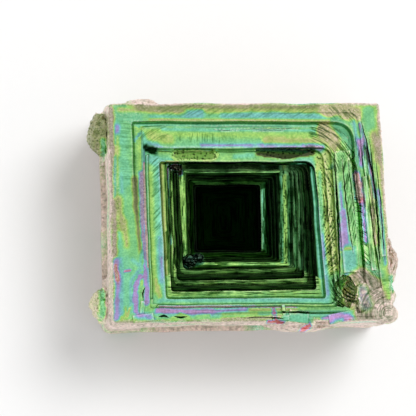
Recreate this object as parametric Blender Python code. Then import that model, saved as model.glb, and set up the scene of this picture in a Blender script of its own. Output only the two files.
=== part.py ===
"""A bismuth hopper crystal: one piece of metal, grown as square frames nested round a deep stepped pit.

Run it with blender --background --python part.py, or from Blender's text editor.

Lengths here are millimetres, and the mesh is made in metres, +Z up. North is +Y and west is -X.
The origin is the middle of the footprint, on the surface that the crystal stands on.
Depths are measured down from the rim.
"""

import math
from typing import NamedTuple

import bmesh
import bpy
from mathutils import Matrix, Vector, noise

MM = 0.001

# Driving dimensions.
HEIGHT = 26.0  # from the cut base to the rim
PIT_DEPTH = 20.5  # from the rim to the floor of the pit
FOOTPRINT_MIDDLE = (0.3, 0.35)  # the middle of the finished footprint, in the coordinates below

# How finely the frames are drawn: points on each straight side, and on each rounded corner.
SIDE_POINTS = 9
CORNER_POINTS = 3

# Growth is never quite straight: each edge wanders by this much, over this length. The wandering
# changes slowly from one layer to the next, so that narrow treads don't cross.
WANDER = 0.2
WANDER_LENGTH = 5.0
LAYER_SHIFT = 0.5
FIRST_TREAD_LAYER = 20

# The eight places round a frame where a height or an outset may be given, clockwise from the
# north-west corner: NW, N, NE, E, SE, S, SW, W. Between them the value runs in a straight line.
STATIONS = 8


class Outline(NamedTuple):
    """A four-sided outline. Sides may lean, so each has a value at both of its ends."""

    west: tuple  # x at the north end, x at the south end
    east: tuple
    north: tuple  # y at the west end, y at the east end
    south: tuple
    corners: tuple = (0.5, 0.5, 0.5, 0.5)  # radii: NW, NE, SE, SW


class Step(NamedTuple):
    """One step down into the pit: where the tread above ends, and how deep the next tread lies."""

    edge: Outline
    foot: object  # the depth of the next tread: a number, or one for each station
    batter: float = 0.15  # how far the foot of the drop lies inside its edge


class Course(NamedTuple):
    """One course of the outer wall, a band that stands proud of the rim's outline or behind it."""

    top: float  # depths
    bottom: float
    outset: tuple  # one for each station


class Lump(NamedTuple):
    """A rounded blob of metal that froze on the crystal, or with joins=False a hollow in it."""

    name: str
    centre: tuple
    radii: tuple
    roughness: float  # how far the surface wanders, as a share of the radius
    detail: int  # icosphere subdivisions
    joins: bool = True


class Blade(NamedTuple):
    """A small flat-faced crystal, or with joins=False a straight-sided pocket."""

    name: str
    centre: tuple
    size: tuple
    turn: tuple  # degrees about X, Y and Z
    joins: bool = True


class Terrace(NamedTuple):
    """One frame of the shallow hollow in an outer face. Nested, they make a hopper lying on its side."""

    face: str
    share: float  # where its middle lies along the face, clockwise
    depth: float  # of its middle below the rim
    length: float
    height: float
    cut: float  # how far it goes in from the face


RIM = Outline((-20.4, -19.6), (20.5, 22.3), (16.9, 17.3), (-16.0, -15.6), (0.9, 0.6, 1.5, 0.6))

# The depths where the well starts and where its two broad ledges lie.
WELL_DEPTH = 3.8
GALLERY_DEPTH = 12.0
SHELF_DEPTH = 16.0

# The lip and the treads, from the rim inwards. On the west the first two steps are level with the
# rim, and on the east they lean away from it, so that the treads there are long wedges.
TREADS = (
    Step(
        Outline((-18.2, -17.3), (17.2, 21.6), (15.5, 15.9), (-15.4, -15.0), (0.8, 1.6, 1.0, 0.6)),
        foot=(0, 0, 0.2, 0.6, 0.3, 0, 0, 0),
    ),
    Step(
        Outline((-16.9, -15.6), (16.5, 19.1), (14.3, 14.5), (-14.8, -14.5), (0.6, 3.2, 2.0, 0.6)),
        foot=(1.0, 1.1, 1.2, 1.4, 0.9, 0.2, 0, 0),
        batter=0.35,
    ),
    Step(
        Outline((-15.4, -14.9), (14.9, 17.2), (13.7, 13.8), (-14.3, -14.0), (0.6, 2.6, 1.6, 0.6)),
        foot=(0.9, 1.3, 1.2, 1.1, 0.9, 0.3, 0, 0),
    ),
    Step(
        Outline((-14.8, -14.0), (13.4, 14.9), (10.4, 10.6), (-13.8, -13.5), (0.5, 1.8, 1.2, 0.4)),
        foot=(2.6, 2.4, 1.8, 1.9, 2.0, 1.6, 2.0, 2.3),
        batter=0.25,
    ),
    Step(
        Outline((-14.2, -13.6), (12.2, 14.2), (10.1, 10.2), (-13.2, -13.0), (0.4, 1.6, 1.0, 0.4)),
        foot=(2.8, 2.8, 2.6, 2.6, 2.8, 2.8, 2.8, 2.8),
    ),
    Step(
        Outline((-12.5, -11.4), (10.9, 12.8), (8.5, 8.6), (-12.2, -12.1), (0.5, 1.6, 0.6, 0.5)),
        foot=WELL_DEPTH,
        batter=0.3,
    ),
)

# The well: the outlines at the top of each flight of fine steps, its two depths and its number of steps.
WELL_TOP = Outline((-11.7, -10.9), (10.4, 12.0), (8.1, 8.2), (-11.7, -11.5), (0.6, 1.5, 0.6, 0.4))
GALLERY = Outline((-9.0, -8.2), (8.2, 8.4), (7.8, 7.9), (-7.1, -6.9), (0.5, 0.7, 0.7, 0.9))
GALLERY_EDGE = Outline((-7.8, -7.6), (6.5, 6.8), (7.4, 7.5), (-6.3, -6.3), (0.4, 0.6, 0.6, 0.6))
SHELF = Outline((-7.2, -6.8), (5.0, 5.5), (6.6, 6.7), (-5.2, -5.2), (0.4, 0.5, 0.5, 0.4))
SHELF_EDGE = Outline((-6.8, -6.5), (4.1, 4.2), (6.1, 6.2), (-4.8, -4.7), (0.4, 0.5, 0.5, 0.4))
FLOOR = Outline((-5.8, -5.6), (3.7, 3.8), (5.8, 5.9), (-3.9, -3.9), (0.5, 0.5, 0.5, 0.5))
FLIGHTS = (
    (WELL_TOP, GALLERY, WELL_DEPTH, GALLERY_DEPTH, 5),
    (GALLERY_EDGE, SHELF, GALLERY_DEPTH, SHELF_DEPTH, 3),
    (SHELF_EDGE, FLOOR, SHELF_DEPTH, PIT_DEPTH, 2),
)
TREAD_SHARE = 0.75  # of a fine step's width; the drop's slope takes the rest

# The outer wall, from the rim down.
RIM_CHAMFER = 0.3
COURSES = (
    Course(0.3, 2.4, (0.0, 0.0, 0.0, 0.0, 0.0, 0.0, 0.0, 0.0)),
    Course(2.7, 5.0, (0.1, -0.3, -0.3, -0.4, 0.1, 0.3, 0.4, 0.3)),
    Course(5.3, 8.2, (0.5, 0.1, -0.1, -0.2, 0.3, 0.2, 0.6, 0.2)),
    Course(8.5, 13.1, (0.2, -0.1, -0.5, -0.1, 0.4, 0.1, 0.3, 0.2)),
    Course(13.4, 16.2, (0.6, 0.1, -0.1, 0.2, 0.2, 0.2, 0.1, 0.1)),
    Course(16.5, 21.4, (0.2, -0.1, 0.1, 0.1, -0.2, 0.1, 0.3, 0.0)),
    Course(21.7, 24.6, (0.7, 0.4, 0.6, 0.6, 0.3, 0.6, 0.8, 0.5)),
)
BASE_INSET = 0.5

# The outer faces are hollow hoppers too, only shallow ones.
FACES = ("north", "east", "south", "west")
FACE_REACH = 2.0  # how far a terrace's cutter stands out of the face
TERRACES = (
    Terrace("north", 0.52, 13.4, 31.0, 17.4, 0.9),
    Terrace("north", 0.54, 13.8, 25.2, 13.2, 1.6),
    Terrace("north", 0.55, 14.3, 18.6, 9.0, 2.4),
    Terrace("north", 0.57, 14.7, 11.2, 4.8, 3.2),
    Terrace("east", 0.38, 14.9, 20.0, 14.6, 0.9),
    Terrace("east", 0.36, 15.5, 14.4, 10.2, 1.7),
    Terrace("east", 0.34, 16.0, 8.6, 5.8, 2.5),
    Terrace("south", 0.56, 15.0, 26.8, 14.4, 0.9),
    Terrace("south", 0.58, 15.6, 21.0, 10.4, 1.6),
    Terrace("south", 0.60, 16.0, 14.6, 6.6, 2.3),
    Terrace("south", 0.62, 16.3, 8.2, 3.2, 3.0),
    Terrace("west", 0.50, 14.3, 17.6, 15.8, 0.9),
    Terrace("west", 0.48, 14.8, 13.0, 11.2, 1.6),
    Terrace("west", 0.47, 15.2, 8.0, 6.6, 2.4),
)

SPHERE_TURN = Matrix.Rotation(0.6, 3, (1.0, 2.0, 3.0))  # keeps the lumps' corners off the ledges
LUMPS = (
    Lump("knob_north_west", (-20.6, 12.9, 18.4), (2.6, 3.4, 4.8), 0.22, 3),
    Lump("knob_north_west_low", (-20.2, 14.6, 13.2), (2.1, 2.3, 3.9), 0.25, 2),
    Lump("knob_south_west", (-20.3, -12.9, 17.3), (2.4, 2.6, 4.3), 0.22, 3),
    Lump("knob_south_west_low", (-20.0, -13.9, 12.4), (1.9, 2.0, 2.9), 0.25, 2),
    Lump("bead_north", (-15.2, 16.8, 24.2), (2.6, 1.0, 1.7), 0.25, 2),
    Lump("bulge_east", (22.3, -6.6, 19.3), (1.7, 3.7, 5.6), 0.22, 3),
    Lump("bulge_south_east", (22.2, -11.4, 18.3), (1.6, 2.6, 4.4), 0.25, 2),
    Lump("crust_south_east", (19.4, -12.2, 23.35), (3.6, 3.4, 2.9), 0.20, 3),
    Lump("bead_south_east", (22.2, -14.5, 23.45), (1.5, 1.5, 2.2), 0.10, 2),
    Lump("drip_south", (8.6, -15.9, 21.0), (5.6, 1.2, 3.4), 0.22, 2),
    Lump("cave", (15.4, -11.2, 25.4), (1.8, 2.5, 3.0), 0.15, 2, joins=False),
)

BLADES = (
    Blade("bar_east", (15.7, 0.9, 25.15), (2.4, 18.4, 1.3), (0, 0, 4.4)),
    Blade("ridge_east_inner", (19.0, -0.9, 25.55), (0.8, 14.2, 1.0), (0.6, 0, 6)),
    Blade("ridge_east_outer", (19.9, 2.2, 25.6), (0.7, 16.4, 1.0), (-0.5, 0, 9)),
    Blade("pocket_north_west", (-7.1, 9.3, 23.4), (6.4, 1.3, 1.4), (0, 0, 0), joins=False),
    Blade("undercut_north", (7.0, 9.9, 23.5), (9.4, 1.9, 1.3), (8, 0, -2), joins=False),
    Blade("notch_north_west", (-14.0, 10.0, 24.0), (2.0, 0.8, 1.6), (0, 0, 25), joins=False),
    Blade("notch_south_west", (-13.4, -13.0, 24.2), (1.4, 1.2, 1.6), (0, 0, -38), joins=False),
    Blade("stud_south", (5.6, -15.2, 25.6), (2.6, 0.8, 1.3), (0, 6, 4)),
    Blade("splinter_south", (6.1, -14.1, 25.7), (0.5, 1.9, 1.0), (4, 0, 6)),
    Blade("plate_south", (8.4, -14.9, 25.3), (3.0, 1.8, 1.6), (3, -5, -7)),
    Blade("stub_south", (10.2, -15.9, 24.9), (1.1, 1.1, 2.0), (0, 10, 25)),
    Blade("facet_south_east", (15.0, -15.0, 25.2), (4.4, 1.5, 1.6), (0, 4, 12)),
    Blade("block_south_west", (-15.0, -15.2, 25.5), (3.2, 1.2, 1.5), (4, 0, 8)),
    Blade("splint_south_west", (-15.2, -14.0, 25.6), (0.7, 2.6, 1.2), (0, 3, -7)),
)


def at_stations(values, place):
    """The value at a place round the outline, where stations 0 to 7 are NW, N, NE, E, SE, S, SW, W."""
    if not isinstance(values, tuple):
        return values
    low = math.floor(place)
    share = place - low
    return values[low % STATIONS] * (1 - share) + values[(low + 1) % STATIONS] * share


def rounded_corner(corner, before, after, radius):
    """The points of a corner's curve, from the side that comes in to the side that goes out."""
    start = corner + (before - corner).normalized() * radius
    end = corner + (after - corner).normalized() * radius
    points = []
    for i in range(CORNER_POINTS):
        t = i / (CORNER_POINTS - 1)
        points.append(start * (1 - t) ** 2 + corner * 2 * t * (1 - t) + end * t**2)
    return points


def outline_corners(outline):
    """The outline's four corners before they are rounded, clockwise from the north-west."""
    return (
        Vector((outline.west[0], outline.north[0])),
        Vector((outline.east[0], outline.north[1])),
        Vector((outline.east[1], outline.south[1])),
        Vector((outline.west[1], outline.south[0])),
    )


def outline_points(outline):
    """The points round an outline, clockwise from the north-west corner, each with its station."""
    corners = outline_corners(outline)
    arcs = []
    for i, radius in enumerate(outline.corners):
        arcs.append(rounded_corner(corners[i], corners[i - 1], corners[(i + 1) % 4], radius))
    points = []
    for i, arc in enumerate(arcs):
        points += [(point, 2.0 * i) for point in arc]
        leave, arrive = arc[-1], arcs[(i + 1) % 4][0]
        for k in range(1, SIDE_POINTS + 1):
            t = k / (SIDE_POINTS + 1)
            points.append((leave.lerp(arrive, t), 2.0 * i + 2.0 * t))
    return points


def wander(point, layer):
    """How far an edge strays sideways there. Rings of one layer stray together."""
    place = Vector((point.x, point.y, layer * LAYER_SHIFT)) / WANDER_LENGTH
    return WANDER * noise.noise(place)


def ring(outline, depth, outset=0.0, layer=0):
    """A closed ring of points: an outline, moved outwards by outset, at a depth below the rim."""
    flat = outline_points(outline)
    middle = sum((point for point, _ in flat), Vector((0, 0))) / len(flat)
    points = []
    for i, (point, place) in enumerate(flat):
        along = (flat[(i + 1) % len(flat)][0] - flat[i - 1][0]).normalized()
        outward = Vector((-along.y, along.x))
        if outward.dot(point - middle) < 0:
            outward.negate()
        moved = point + outward * (at_stations(outset, place) + wander(point, layer))
        points.append(Vector((moved.x, moved.y, HEIGHT - at_stations(depth, place))))
    return points


def between(a, b, share):
    """The outline part of the way from a to b."""
    return Outline(*(tuple(p + (q - p) * share for p, q in zip(*sides)) for sides in zip(a, b)))


def outside_rings():
    """The rings from the base up the outer wall to the rim."""
    lowest = COURSES[-1]
    rings = [ring(RIM, HEIGHT, tuple(o - BASE_INSET for o in lowest.outset), len(COURSES))]
    for layer, course in reversed(list(enumerate(COURSES, 1))):
        rings.append(ring(RIM, course.bottom, course.outset, layer))
        rings.append(ring(RIM, course.top, course.outset, layer))
    rings.append(ring(RIM, 0.0, -RIM_CHAMFER, 1))
    return rings


def tread_rings():
    """The rings of the lip and of the wide treads: two to each step, its edge and its foot."""
    rings = []
    depth = 0.0
    for layer, step in enumerate(TREADS, FIRST_TREAD_LAYER):
        rings.append(ring(step.edge, depth, 0.0, layer))
        rings.append(ring(step.edge, step.foot, -step.batter, layer))
        depth = step.foot
    return rings


def flight_rings(top, bottom, start, end, count, layer):
    """The rings of a flight of fine steps, from the outline and depth at its top to those at its bottom."""
    rings = [ring(top, start, 0.0, layer)]
    for i in range(count):
        upper, lower = (start + (end - start) * k / count for k in (i, i + 1))
        edge = between(top, bottom, (i + TREAD_SHARE) / count)
        foot = between(top, bottom, (i + 1) / count)
        rings.append(ring(edge, upper, 0.0, layer))
        rings.append(ring(foot, lower, 0.0, layer))
    return rings


def pit_rings():
    """The rings of the well, flight by flight, down to the floor."""
    rings = []
    for layer, flight in enumerate(FLIGHTS, FIRST_TREAD_LAYER + len(TREADS)):
        rings += flight_rings(*flight, layer)
    return rings


def loft(name, rings):
    """One closed mesh object through a list of rings, each with the same number of points."""
    mesh = bmesh.new()
    loops = [[mesh.verts.new(point * MM) for point in points] for points in rings]
    for lower, upper in zip(loops, loops[1:]):
        for i in range(len(lower)):
            mesh.faces.new((lower[i - 1], lower[i], upper[i], upper[i - 1]))
    mesh.faces.new(loops[0])
    mesh.faces.new(loops[-1][::-1])
    bmesh.ops.recalc_face_normals(mesh, faces=mesh.faces)
    return finish_object(name, mesh)


def finish_object(name, mesh):
    """Links a bmesh into the scene as an object."""
    data = bpy.data.meshes.new(name)
    mesh.to_mesh(data)
    mesh.free()
    made = bpy.data.objects.new(name, data)
    bpy.context.scene.collection.objects.link(made)
    return made


def lump_object(lump):
    """A rough ellipsoid, its surface pushed in and out by noise."""
    mesh = bmesh.new()
    bmesh.ops.create_icosphere(mesh, subdivisions=lump.detail, radius=1.0)
    for vertex in mesh.verts:
        unit = SPHERE_TURN @ vertex.co
        swell = 1 + lump.roughness * noise.noise(unit * 1.9 + Vector(lump.centre))
        local = Vector(c * r for c, r in zip(unit * swell, lump.radii))
        vertex.co = (Vector(lump.centre) + local) * MM
    return finish_object(lump.name, mesh)


def block_object(name, centre, size, turn):
    """A block, turned by a matrix and set in place."""
    mesh = bmesh.new()
    bmesh.ops.create_cube(mesh, size=1.0)
    place = Matrix.Translation(Vector(centre)) @ turn @ Matrix.Diagonal((*size, 1.0))
    bmesh.ops.transform(mesh, matrix=place, verts=mesh.verts)
    bmesh.ops.scale(mesh, vec=(MM, MM, MM), verts=mesh.verts)
    return finish_object(name, mesh)


def blade_object(blade):
    turn = Matrix.Identity(4)
    for degrees, axis in zip(blade.turn, "XYZ"):
        turn = Matrix.Rotation(math.radians(degrees), 4, axis) @ turn
    return block_object(blade.name, blade.centre, blade.size, turn)


def terrace_object(name, terrace):
    """The block that cuts a terrace, laid along its face of the rim's outline."""
    corners = outline_corners(RIM)
    first = FACES.index(terrace.face)
    start, end = corners[first], corners[(first + 1) % 4]
    run = (end - start).normalized()
    outward = Vector((-run.y, run.x))
    middle = start.lerp(end, terrace.share) + outward * (FACE_REACH - terrace.cut) / 2
    size = (terrace.length, FACE_REACH + terrace.cut, terrace.height)
    turn = Matrix.Rotation(math.atan2(run.y, run.x), 4, "Z")
    return block_object(name, (*middle, HEIGHT - terrace.depth), size, turn)


def merge_into(crystal, shape, joins):
    """Joins a shape to the crystal, or cuts it out, and keeps the shape only as a wire guide."""
    shape.hide_render = True
    shape.display_type = "WIRE"
    boolean = crystal.modifiers.new(shape.name, "BOOLEAN")
    boolean.operation = "UNION" if joins else "DIFFERENCE"
    boolean.solver = "EXACT"
    boolean.object = shape


def bismuth():
    """Bismuth under its green oxide film."""
    material = bpy.data.materials.new("bismuth")
    material.use_nodes = True
    shader = material.node_tree.nodes["Principled BSDF"]
    shader.inputs["Base Color"].default_value = (0.18, 0.52, 0.20, 1.0)
    shader.inputs["Metallic"].default_value = 0.9
    shader.inputs["Roughness"].default_value = 0.35
    return material


def main():
    for old in list(bpy.data.objects):
        bpy.data.objects.remove(old)
    crystal = loft("bismuth_crystal", outside_rings() + tread_rings() + pit_rings())
    crystal.data.materials.append(bismuth())
    for number, terrace in enumerate(TERRACES, 1):
        merge_into(crystal, terrace_object(f"terrace_{number}", terrace), joins=False)
    for lump in LUMPS:
        merge_into(crystal, lump_object(lump), lump.joins)
    for blade in BLADES:
        merge_into(crystal, blade_object(blade), blade.joins)
    middle = Vector((*FOOTPRINT_MIDDLE, 0.0)) * MM
    for made in bpy.data.objects:
        made.location -= middle


main()
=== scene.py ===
# %% [markdown]
# # A bismuth hopper crystal
# Bismuth that cools slowly grows fastest along the edges of its faces. Frame is laid inside frame, each a
# little lower, and a square pit is left in the middle. The hot metal then takes on a clear skin of oxide,
# so thin that it colours the light: silver, violet, blue, green or yellow, by its thickness.
#
# This lesson starts from the plain solid of such a crystal and gives it its fine shape and its colours.
# Lengths are in millimetres here, as on a workbench, and become metres where a mesh is made.

# %% Load the plain solid
import math
from typing import NamedTuple

import bmesh
import bpy
import numpy as np
from mathutils import Matrix, Vector, noise


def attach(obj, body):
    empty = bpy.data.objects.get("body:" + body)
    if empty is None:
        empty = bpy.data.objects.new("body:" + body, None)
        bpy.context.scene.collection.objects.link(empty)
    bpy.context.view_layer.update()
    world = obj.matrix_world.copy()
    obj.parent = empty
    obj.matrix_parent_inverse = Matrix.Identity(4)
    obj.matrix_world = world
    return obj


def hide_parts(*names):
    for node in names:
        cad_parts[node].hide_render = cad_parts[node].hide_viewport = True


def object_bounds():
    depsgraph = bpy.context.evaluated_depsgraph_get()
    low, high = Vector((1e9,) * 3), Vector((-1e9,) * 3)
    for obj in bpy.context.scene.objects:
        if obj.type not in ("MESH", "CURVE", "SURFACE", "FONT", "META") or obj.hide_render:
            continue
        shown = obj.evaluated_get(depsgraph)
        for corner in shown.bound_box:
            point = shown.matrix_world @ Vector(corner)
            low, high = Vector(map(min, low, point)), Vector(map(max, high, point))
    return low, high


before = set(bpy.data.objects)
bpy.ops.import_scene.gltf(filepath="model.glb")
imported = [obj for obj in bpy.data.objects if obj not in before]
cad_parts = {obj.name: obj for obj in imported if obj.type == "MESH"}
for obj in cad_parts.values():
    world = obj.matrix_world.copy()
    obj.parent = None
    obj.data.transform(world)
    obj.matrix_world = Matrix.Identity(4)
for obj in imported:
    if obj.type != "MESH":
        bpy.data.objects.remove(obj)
cad_box = [list(corner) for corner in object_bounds()]
print("the plain solid spans", [[round(x * 1000, 1) for x in corner] for corner in cad_box], "mm")

# %% [markdown]
# ## Four-sided outlines
# Every ledge of the crystal is a closed line round the pit, with four sides that may lean and four small
# rounded corners. All the lines get the same number of points, in the same order, so that two neighbours
# can be joined with plain four-sided faces. That is a loft, and it keeps each ledge's edge one clean row
# of edges, which remeshing or sculpting would blur.

# %% Outlines and their points
MM = 0.001
TINY = 1e-6  # keeps a division by a length from failing where the length is 0
HEIGHT = 26.0
PIT_DEPTH = 20.5
MIDDLE = np.array([0.3, 0.35, 0.0])  # the middle of the footprint, in the coordinates used below
SIDE_POINTS = 93
CORNER_POINTS = 7


class Outline(NamedTuple):
    """A four-sided outline: x or y at both ends of each side, and the corners' radii."""

    west: tuple
    east: tuple
    north: tuple
    south: tuple
    corners: tuple = (0.5, 0.5, 0.5, 0.5)


def unit(vector):
    """The same direction, with a length of 1."""
    return vector / np.linalg.norm(vector, axis=-1, keepdims=True)


def outline_corners(outline):
    """The corners before they are rounded, clockwise from the north-west."""
    return np.array(
        [
            (outline.west[0], outline.north[0]),
            (outline.east[0], outline.north[1]),
            (outline.east[1], outline.south[1]),
            (outline.west[1], outline.south[0]),
        ]
    )


def outline_points(outline):
    """The points round an outline, clockwise from the north-west corner."""
    corners = outline_corners(outline)
    t = np.linspace(0, 1, CORNER_POINTS)[:, None]
    arcs = []
    for i, radius in enumerate(outline.corners):
        start = corners[i] + unit(corners[i - 1] - corners[i]) * radius
        end = corners[i] + unit(corners[(i + 1) % 4] - corners[i]) * radius
        arcs.append(start * (1 - t) ** 2 + corners[i] * 2 * t * (1 - t) + end * t**2)
    share = np.arange(1, SIDE_POINTS + 1)[:, None] / (SIDE_POINTS + 1)
    points = []
    for i, arc in enumerate(arcs):
        points += [arc, arc[-1] * (1 - share) + arcs[(i + 1) % 4][0] * share]
    return np.concatenate(points)


side_share = np.arange(1, SIDE_POINTS + 1) / (SIDE_POINTS + 1)
PLACES = np.concatenate([[2.0 * i] * CORNER_POINTS + list(2 * i + 2 * side_share) for i in range(4)])
COLUMNS = len(PLACES)
print("each line round the pit has", COLUMNS, "points")

# %% [markdown]
# ## Lines that wander
# A grown edge is never quite straight. Each line is pushed sideways by smooth noise that depends on where
# the point is, so that neighbouring lines stray together and don't cross. Heights and offsets may differ
# round the crystal: they are given at eight stations, clockwise from the north-west corner.

# %% Rings in space
WANDER = 0.2
WANDER_LENGTH = 5.0
LAYER_SHIFT = 0.5


def at_stations(values):
    """A value for each point round a line, from one number or from eight stations."""
    if not isinstance(values, tuple):
        return np.full(COLUMNS, float(values))
    return np.interp(PLACES, range(9), values + values[:1])


def noise_at(points, scale, shift=0.0):
    """Smooth noise from -1 to 1 at each point."""
    return np.array([noise.noise(Vector(p)) for p in points * scale + shift])


def wander(flat, layer):
    """How far each point of a layer strays sideways."""
    layers = np.full(len(flat), layer * LAYER_SHIFT)
    return WANDER * noise_at(np.column_stack([flat, layers]), 1 / WANDER_LENGTH)


def outward(flat):
    """The direction out of the crystal at each point of a clockwise line."""
    along = unit(np.roll(flat, -1, axis=0) - np.roll(flat, 1, axis=0))
    return np.column_stack([-along[:, 1], along[:, 0]])


def ring(outline, depth, outset=0.0, layer=0):
    """A line of points, moved outwards by outset, at a depth below the rim."""
    flat = outline_points(outline)
    moved = flat + outward(flat) * (at_stations(outset) + wander(flat, layer))[:, None]
    return np.column_stack([moved, HEIGHT - at_stations(depth)])


# %% [markdown]
# ## The lip, the treads and the well
# These are the crystal's own sizes. A step is the edge where one tread ends and the depth at which the
# next one lies. On the west the first steps are level with the rim, and on the east the edges lean, so
# the treads there are long wedges. Below the last tread the well goes down in flights of fine steps.

# %% The sizes of the pit, and its key rings
WELL_DEPTH = 3.8
GALLERY_DEPTH = 12.0
SHELF_DEPTH = 16.0
FIRST_TREAD_LAYER = 20


class Step(NamedTuple):
    """The edge of a tread, the depth of the next one, and how far the foot lies inside the edge."""

    edge: Outline
    foot: object
    batter: float = 0.15


RIM = Outline((-20.4, -19.6), (20.6, 22.8), (16.9, 17.3), (-16.0, -15.6), (0.9, 0.6, 1.5, 0.6))
TREADS = (
    Step(
        Outline((-18.2, -17.3), (17.2, 21.6), (15.5, 15.9), (-15.4, -15.0), (0.8, 1.6, 1.0, 0.6)),
        foot=(0, 0, 0.2, 0.6, 0.3, 0, 0, 0),
    ),
    Step(
        Outline((-16.9, -15.6), (16.5, 19.1), (14.3, 14.5), (-14.8, -14.5), (0.6, 3.2, 2.0, 0.6)),
        foot=(1.0, 1.1, 1.2, 1.4, 0.9, 0.2, 0, 0),
        batter=0.35,
    ),
    Step(
        Outline((-15.4, -14.9), (14.9, 17.2), (13.7, 13.8), (-14.3, -14.0), (0.6, 2.6, 1.6, 0.6)),
        foot=(0.9, 1.3, 1.2, 1.1, 0.9, 0.3, 0, 0),
    ),
    Step(
        Outline((-14.8, -14.0), (13.4, 14.9), (10.4, 10.6), (-13.8, -13.5), (0.5, 1.8, 1.2, 0.4)),
        foot=(2.6, 2.4, 1.8, 1.9, 2.0, 1.6, 2.0, 2.3),
        batter=0.25,
    ),
    Step(
        Outline((-14.2, -13.6), (12.2, 14.2), (10.1, 10.2), (-13.2, -13.0), (0.4, 1.6, 1.0, 0.4)),
        foot=(2.8, 2.8, 2.6, 2.6, 2.8, 2.8, 2.8, 2.8),
    ),
    Step(
        Outline((-12.5, -11.4), (10.9, 12.8), (8.5, 8.6), (-12.2, -12.1), (0.5, 1.6, 0.6, 0.5)),
        foot=WELL_DEPTH,
        batter=0.3,
    ),
)
WELL_TOP = Outline((-11.7, -10.9), (10.4, 12.0), (8.1, 8.2), (-11.7, -11.5), (0.6, 1.5, 0.6, 0.4))
GALLERY = Outline((-9.0, -8.2), (8.2, 8.4), (7.8, 7.9), (-7.1, -6.9), (0.5, 0.7, 0.7, 0.9))
GALLERY_EDGE = Outline((-7.8, -7.6), (6.5, 6.8), (7.4, 7.5), (-6.3, -6.3), (0.4, 0.6, 0.6, 0.6))
SHELF = Outline((-7.2, -6.8), (5.0, 5.5), (6.6, 6.7), (-5.2, -5.2), (0.4, 0.5, 0.5, 0.4))
SHELF_EDGE = Outline((-6.8, -6.5), (4.1, 4.2), (6.1, 6.2), (-4.8, -4.7), (0.4, 0.5, 0.5, 0.4))
FLOOR = Outline((-5.8, -5.6), (3.7, 3.8), (5.8, 5.9), (-3.9, -3.9), (0.5, 0.5, 0.5, 0.5))
FLIGHTS = (
    (WELL_TOP, GALLERY, WELL_DEPTH, GALLERY_DEPTH, 5),
    (GALLERY_EDGE, SHELF, GALLERY_DEPTH, SHELF_DEPTH, 3),
    (SHELF_EDGE, FLOOR, SHELF_DEPTH, PIT_DEPTH, 2),
)
TREAD_SHARE = 0.75


def between(a, b, share):
    """The outline part of the way from a to b."""
    return Outline(*(tuple(p + (q - p) * share for p, q in zip(*sides)) for sides in zip(a, b)))


def key_rings():
    """The rings at every edge and foot, from the rim's chamfer down to the floor."""
    rings = [ring(RIM, 0.0, -RIM_CHAMFER, 1)]
    depth = 0.0
    for layer, step in enumerate(TREADS, FIRST_TREAD_LAYER):
        rings += [ring(step.edge, depth, 0.0, layer), ring(step.edge, step.foot, -step.batter, layer)]
        depth = step.foot
    for layer, (top, bottom, start, end, count) in enumerate(FLIGHTS, FIRST_TREAD_LAYER + len(TREADS)):
        for i in range(count):
            upper, lower = (start + (end - start) * k / count for k in (i, i + 1))
            rings.append(ring(between(top, bottom, (i + TREAD_SHARE) / count), upper, 0.0, layer))
            rings.append(ring(between(top, bottom, (i + 1) / count), lower, 0.0, layer))
    return rings


# %% [markdown]
# ## The outer wall
# The wall is a stack of courses, bands that stand a little proud or back. Each of the four faces is a
# shallow hopper of its own, lying on its side: rectangle inside rectangle, each cut a little deeper. It
# could be cut with many Booleans. Here the wall's own grid is moved in, and the rows and columns nearest
# to each rectangle's border are first slid onto it, which leaves crisp edges on an even mesh.

# %% The sizes of the outer wall
RIM_CHAMFER = 0.3
BASE_INSET = 0.5
COURSES = (  # depth of the top, depth of the bottom, and how far it stands out at the eight stations
    (0.3, 2.4, (0.0, 0.0, 0.0, 0.0, 0.0, 0.0, 0.0, 0.0)),
    (2.7, 5.0, (0.1, -0.3, -0.3, -0.4, 0.1, 0.3, 0.4, 0.3)),
    (5.3, 8.2, (0.5, 0.1, -0.1, -0.2, 0.3, 0.2, 0.6, 0.2)),
    (8.5, 13.1, (0.2, -0.1, -0.5, -0.1, 0.4, 0.1, 0.3, 0.2)),
    (13.4, 16.2, (0.6, 0.1, -0.1, 0.2, 0.2, 0.2, 0.1, 0.1)),
    (16.5, 21.4, (0.2, -0.1, 0.1, 0.1, -0.2, 0.1, 0.3, 0.0)),
    (21.7, 24.6, (0.7, 0.4, 0.6, 0.6, 0.3, 0.6, 0.8, 0.5)),
)
TERRACES = {  # place along the face, depth of the middle, length, height, cut
    "north": ((0.52, 13.4, 31.0, 17.4, 0.9), (0.54, 13.8, 25.2, 13.2, 1.6), (0.55, 14.3, 18.6, 9.0, 2.4),
              (0.57, 14.7, 11.2, 4.8, 3.2)),
    "east": ((0.38, 14.9, 20.0, 14.6, 0.9), (0.36, 15.5, 14.4, 10.2, 1.7), (0.34, 16.0, 8.6, 5.8, 2.5)),
    "south": ((0.56, 15.0, 26.8, 14.4, 0.9), (0.58, 15.6, 21.0, 10.4, 1.6), (0.60, 16.0, 14.6, 6.6, 2.3),
              (0.62, 16.3, 8.2, 3.2, 3.0)),
    "west": ((0.50, 14.3, 17.6, 15.8, 0.9), (0.48, 14.8, 13.0, 11.2, 1.6), (0.47, 15.2, 8.0, 6.6, 2.4)),
}
print("the faces have", {face: len(terraces) for face, terraces in TERRACES.items()}, "terraces")

# %% The rings of the outer wall
WALL_RINGS = 56
HALF_STEP = 0.05  # half the width of a terrace's riser


def finer(terraces):
    """The same hollow with one more frame between each two."""
    steps = [np.array(terraces[0])]
    for upper, lower in zip(terraces, terraces[1:]):
        steps += [(np.array(upper) + lower) / 2, np.array(lower)]
    return steps


def slide_onto(grid, border):
    """Moves the two neighbours of a border, in a rising list, to just before and just after it."""
    after = int(np.searchsorted(grid, border))
    if 1 < after < len(grid) - 1:
        grid[after - 1 : after + 1] = border - HALF_STEP, border + HALF_STEP


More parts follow.
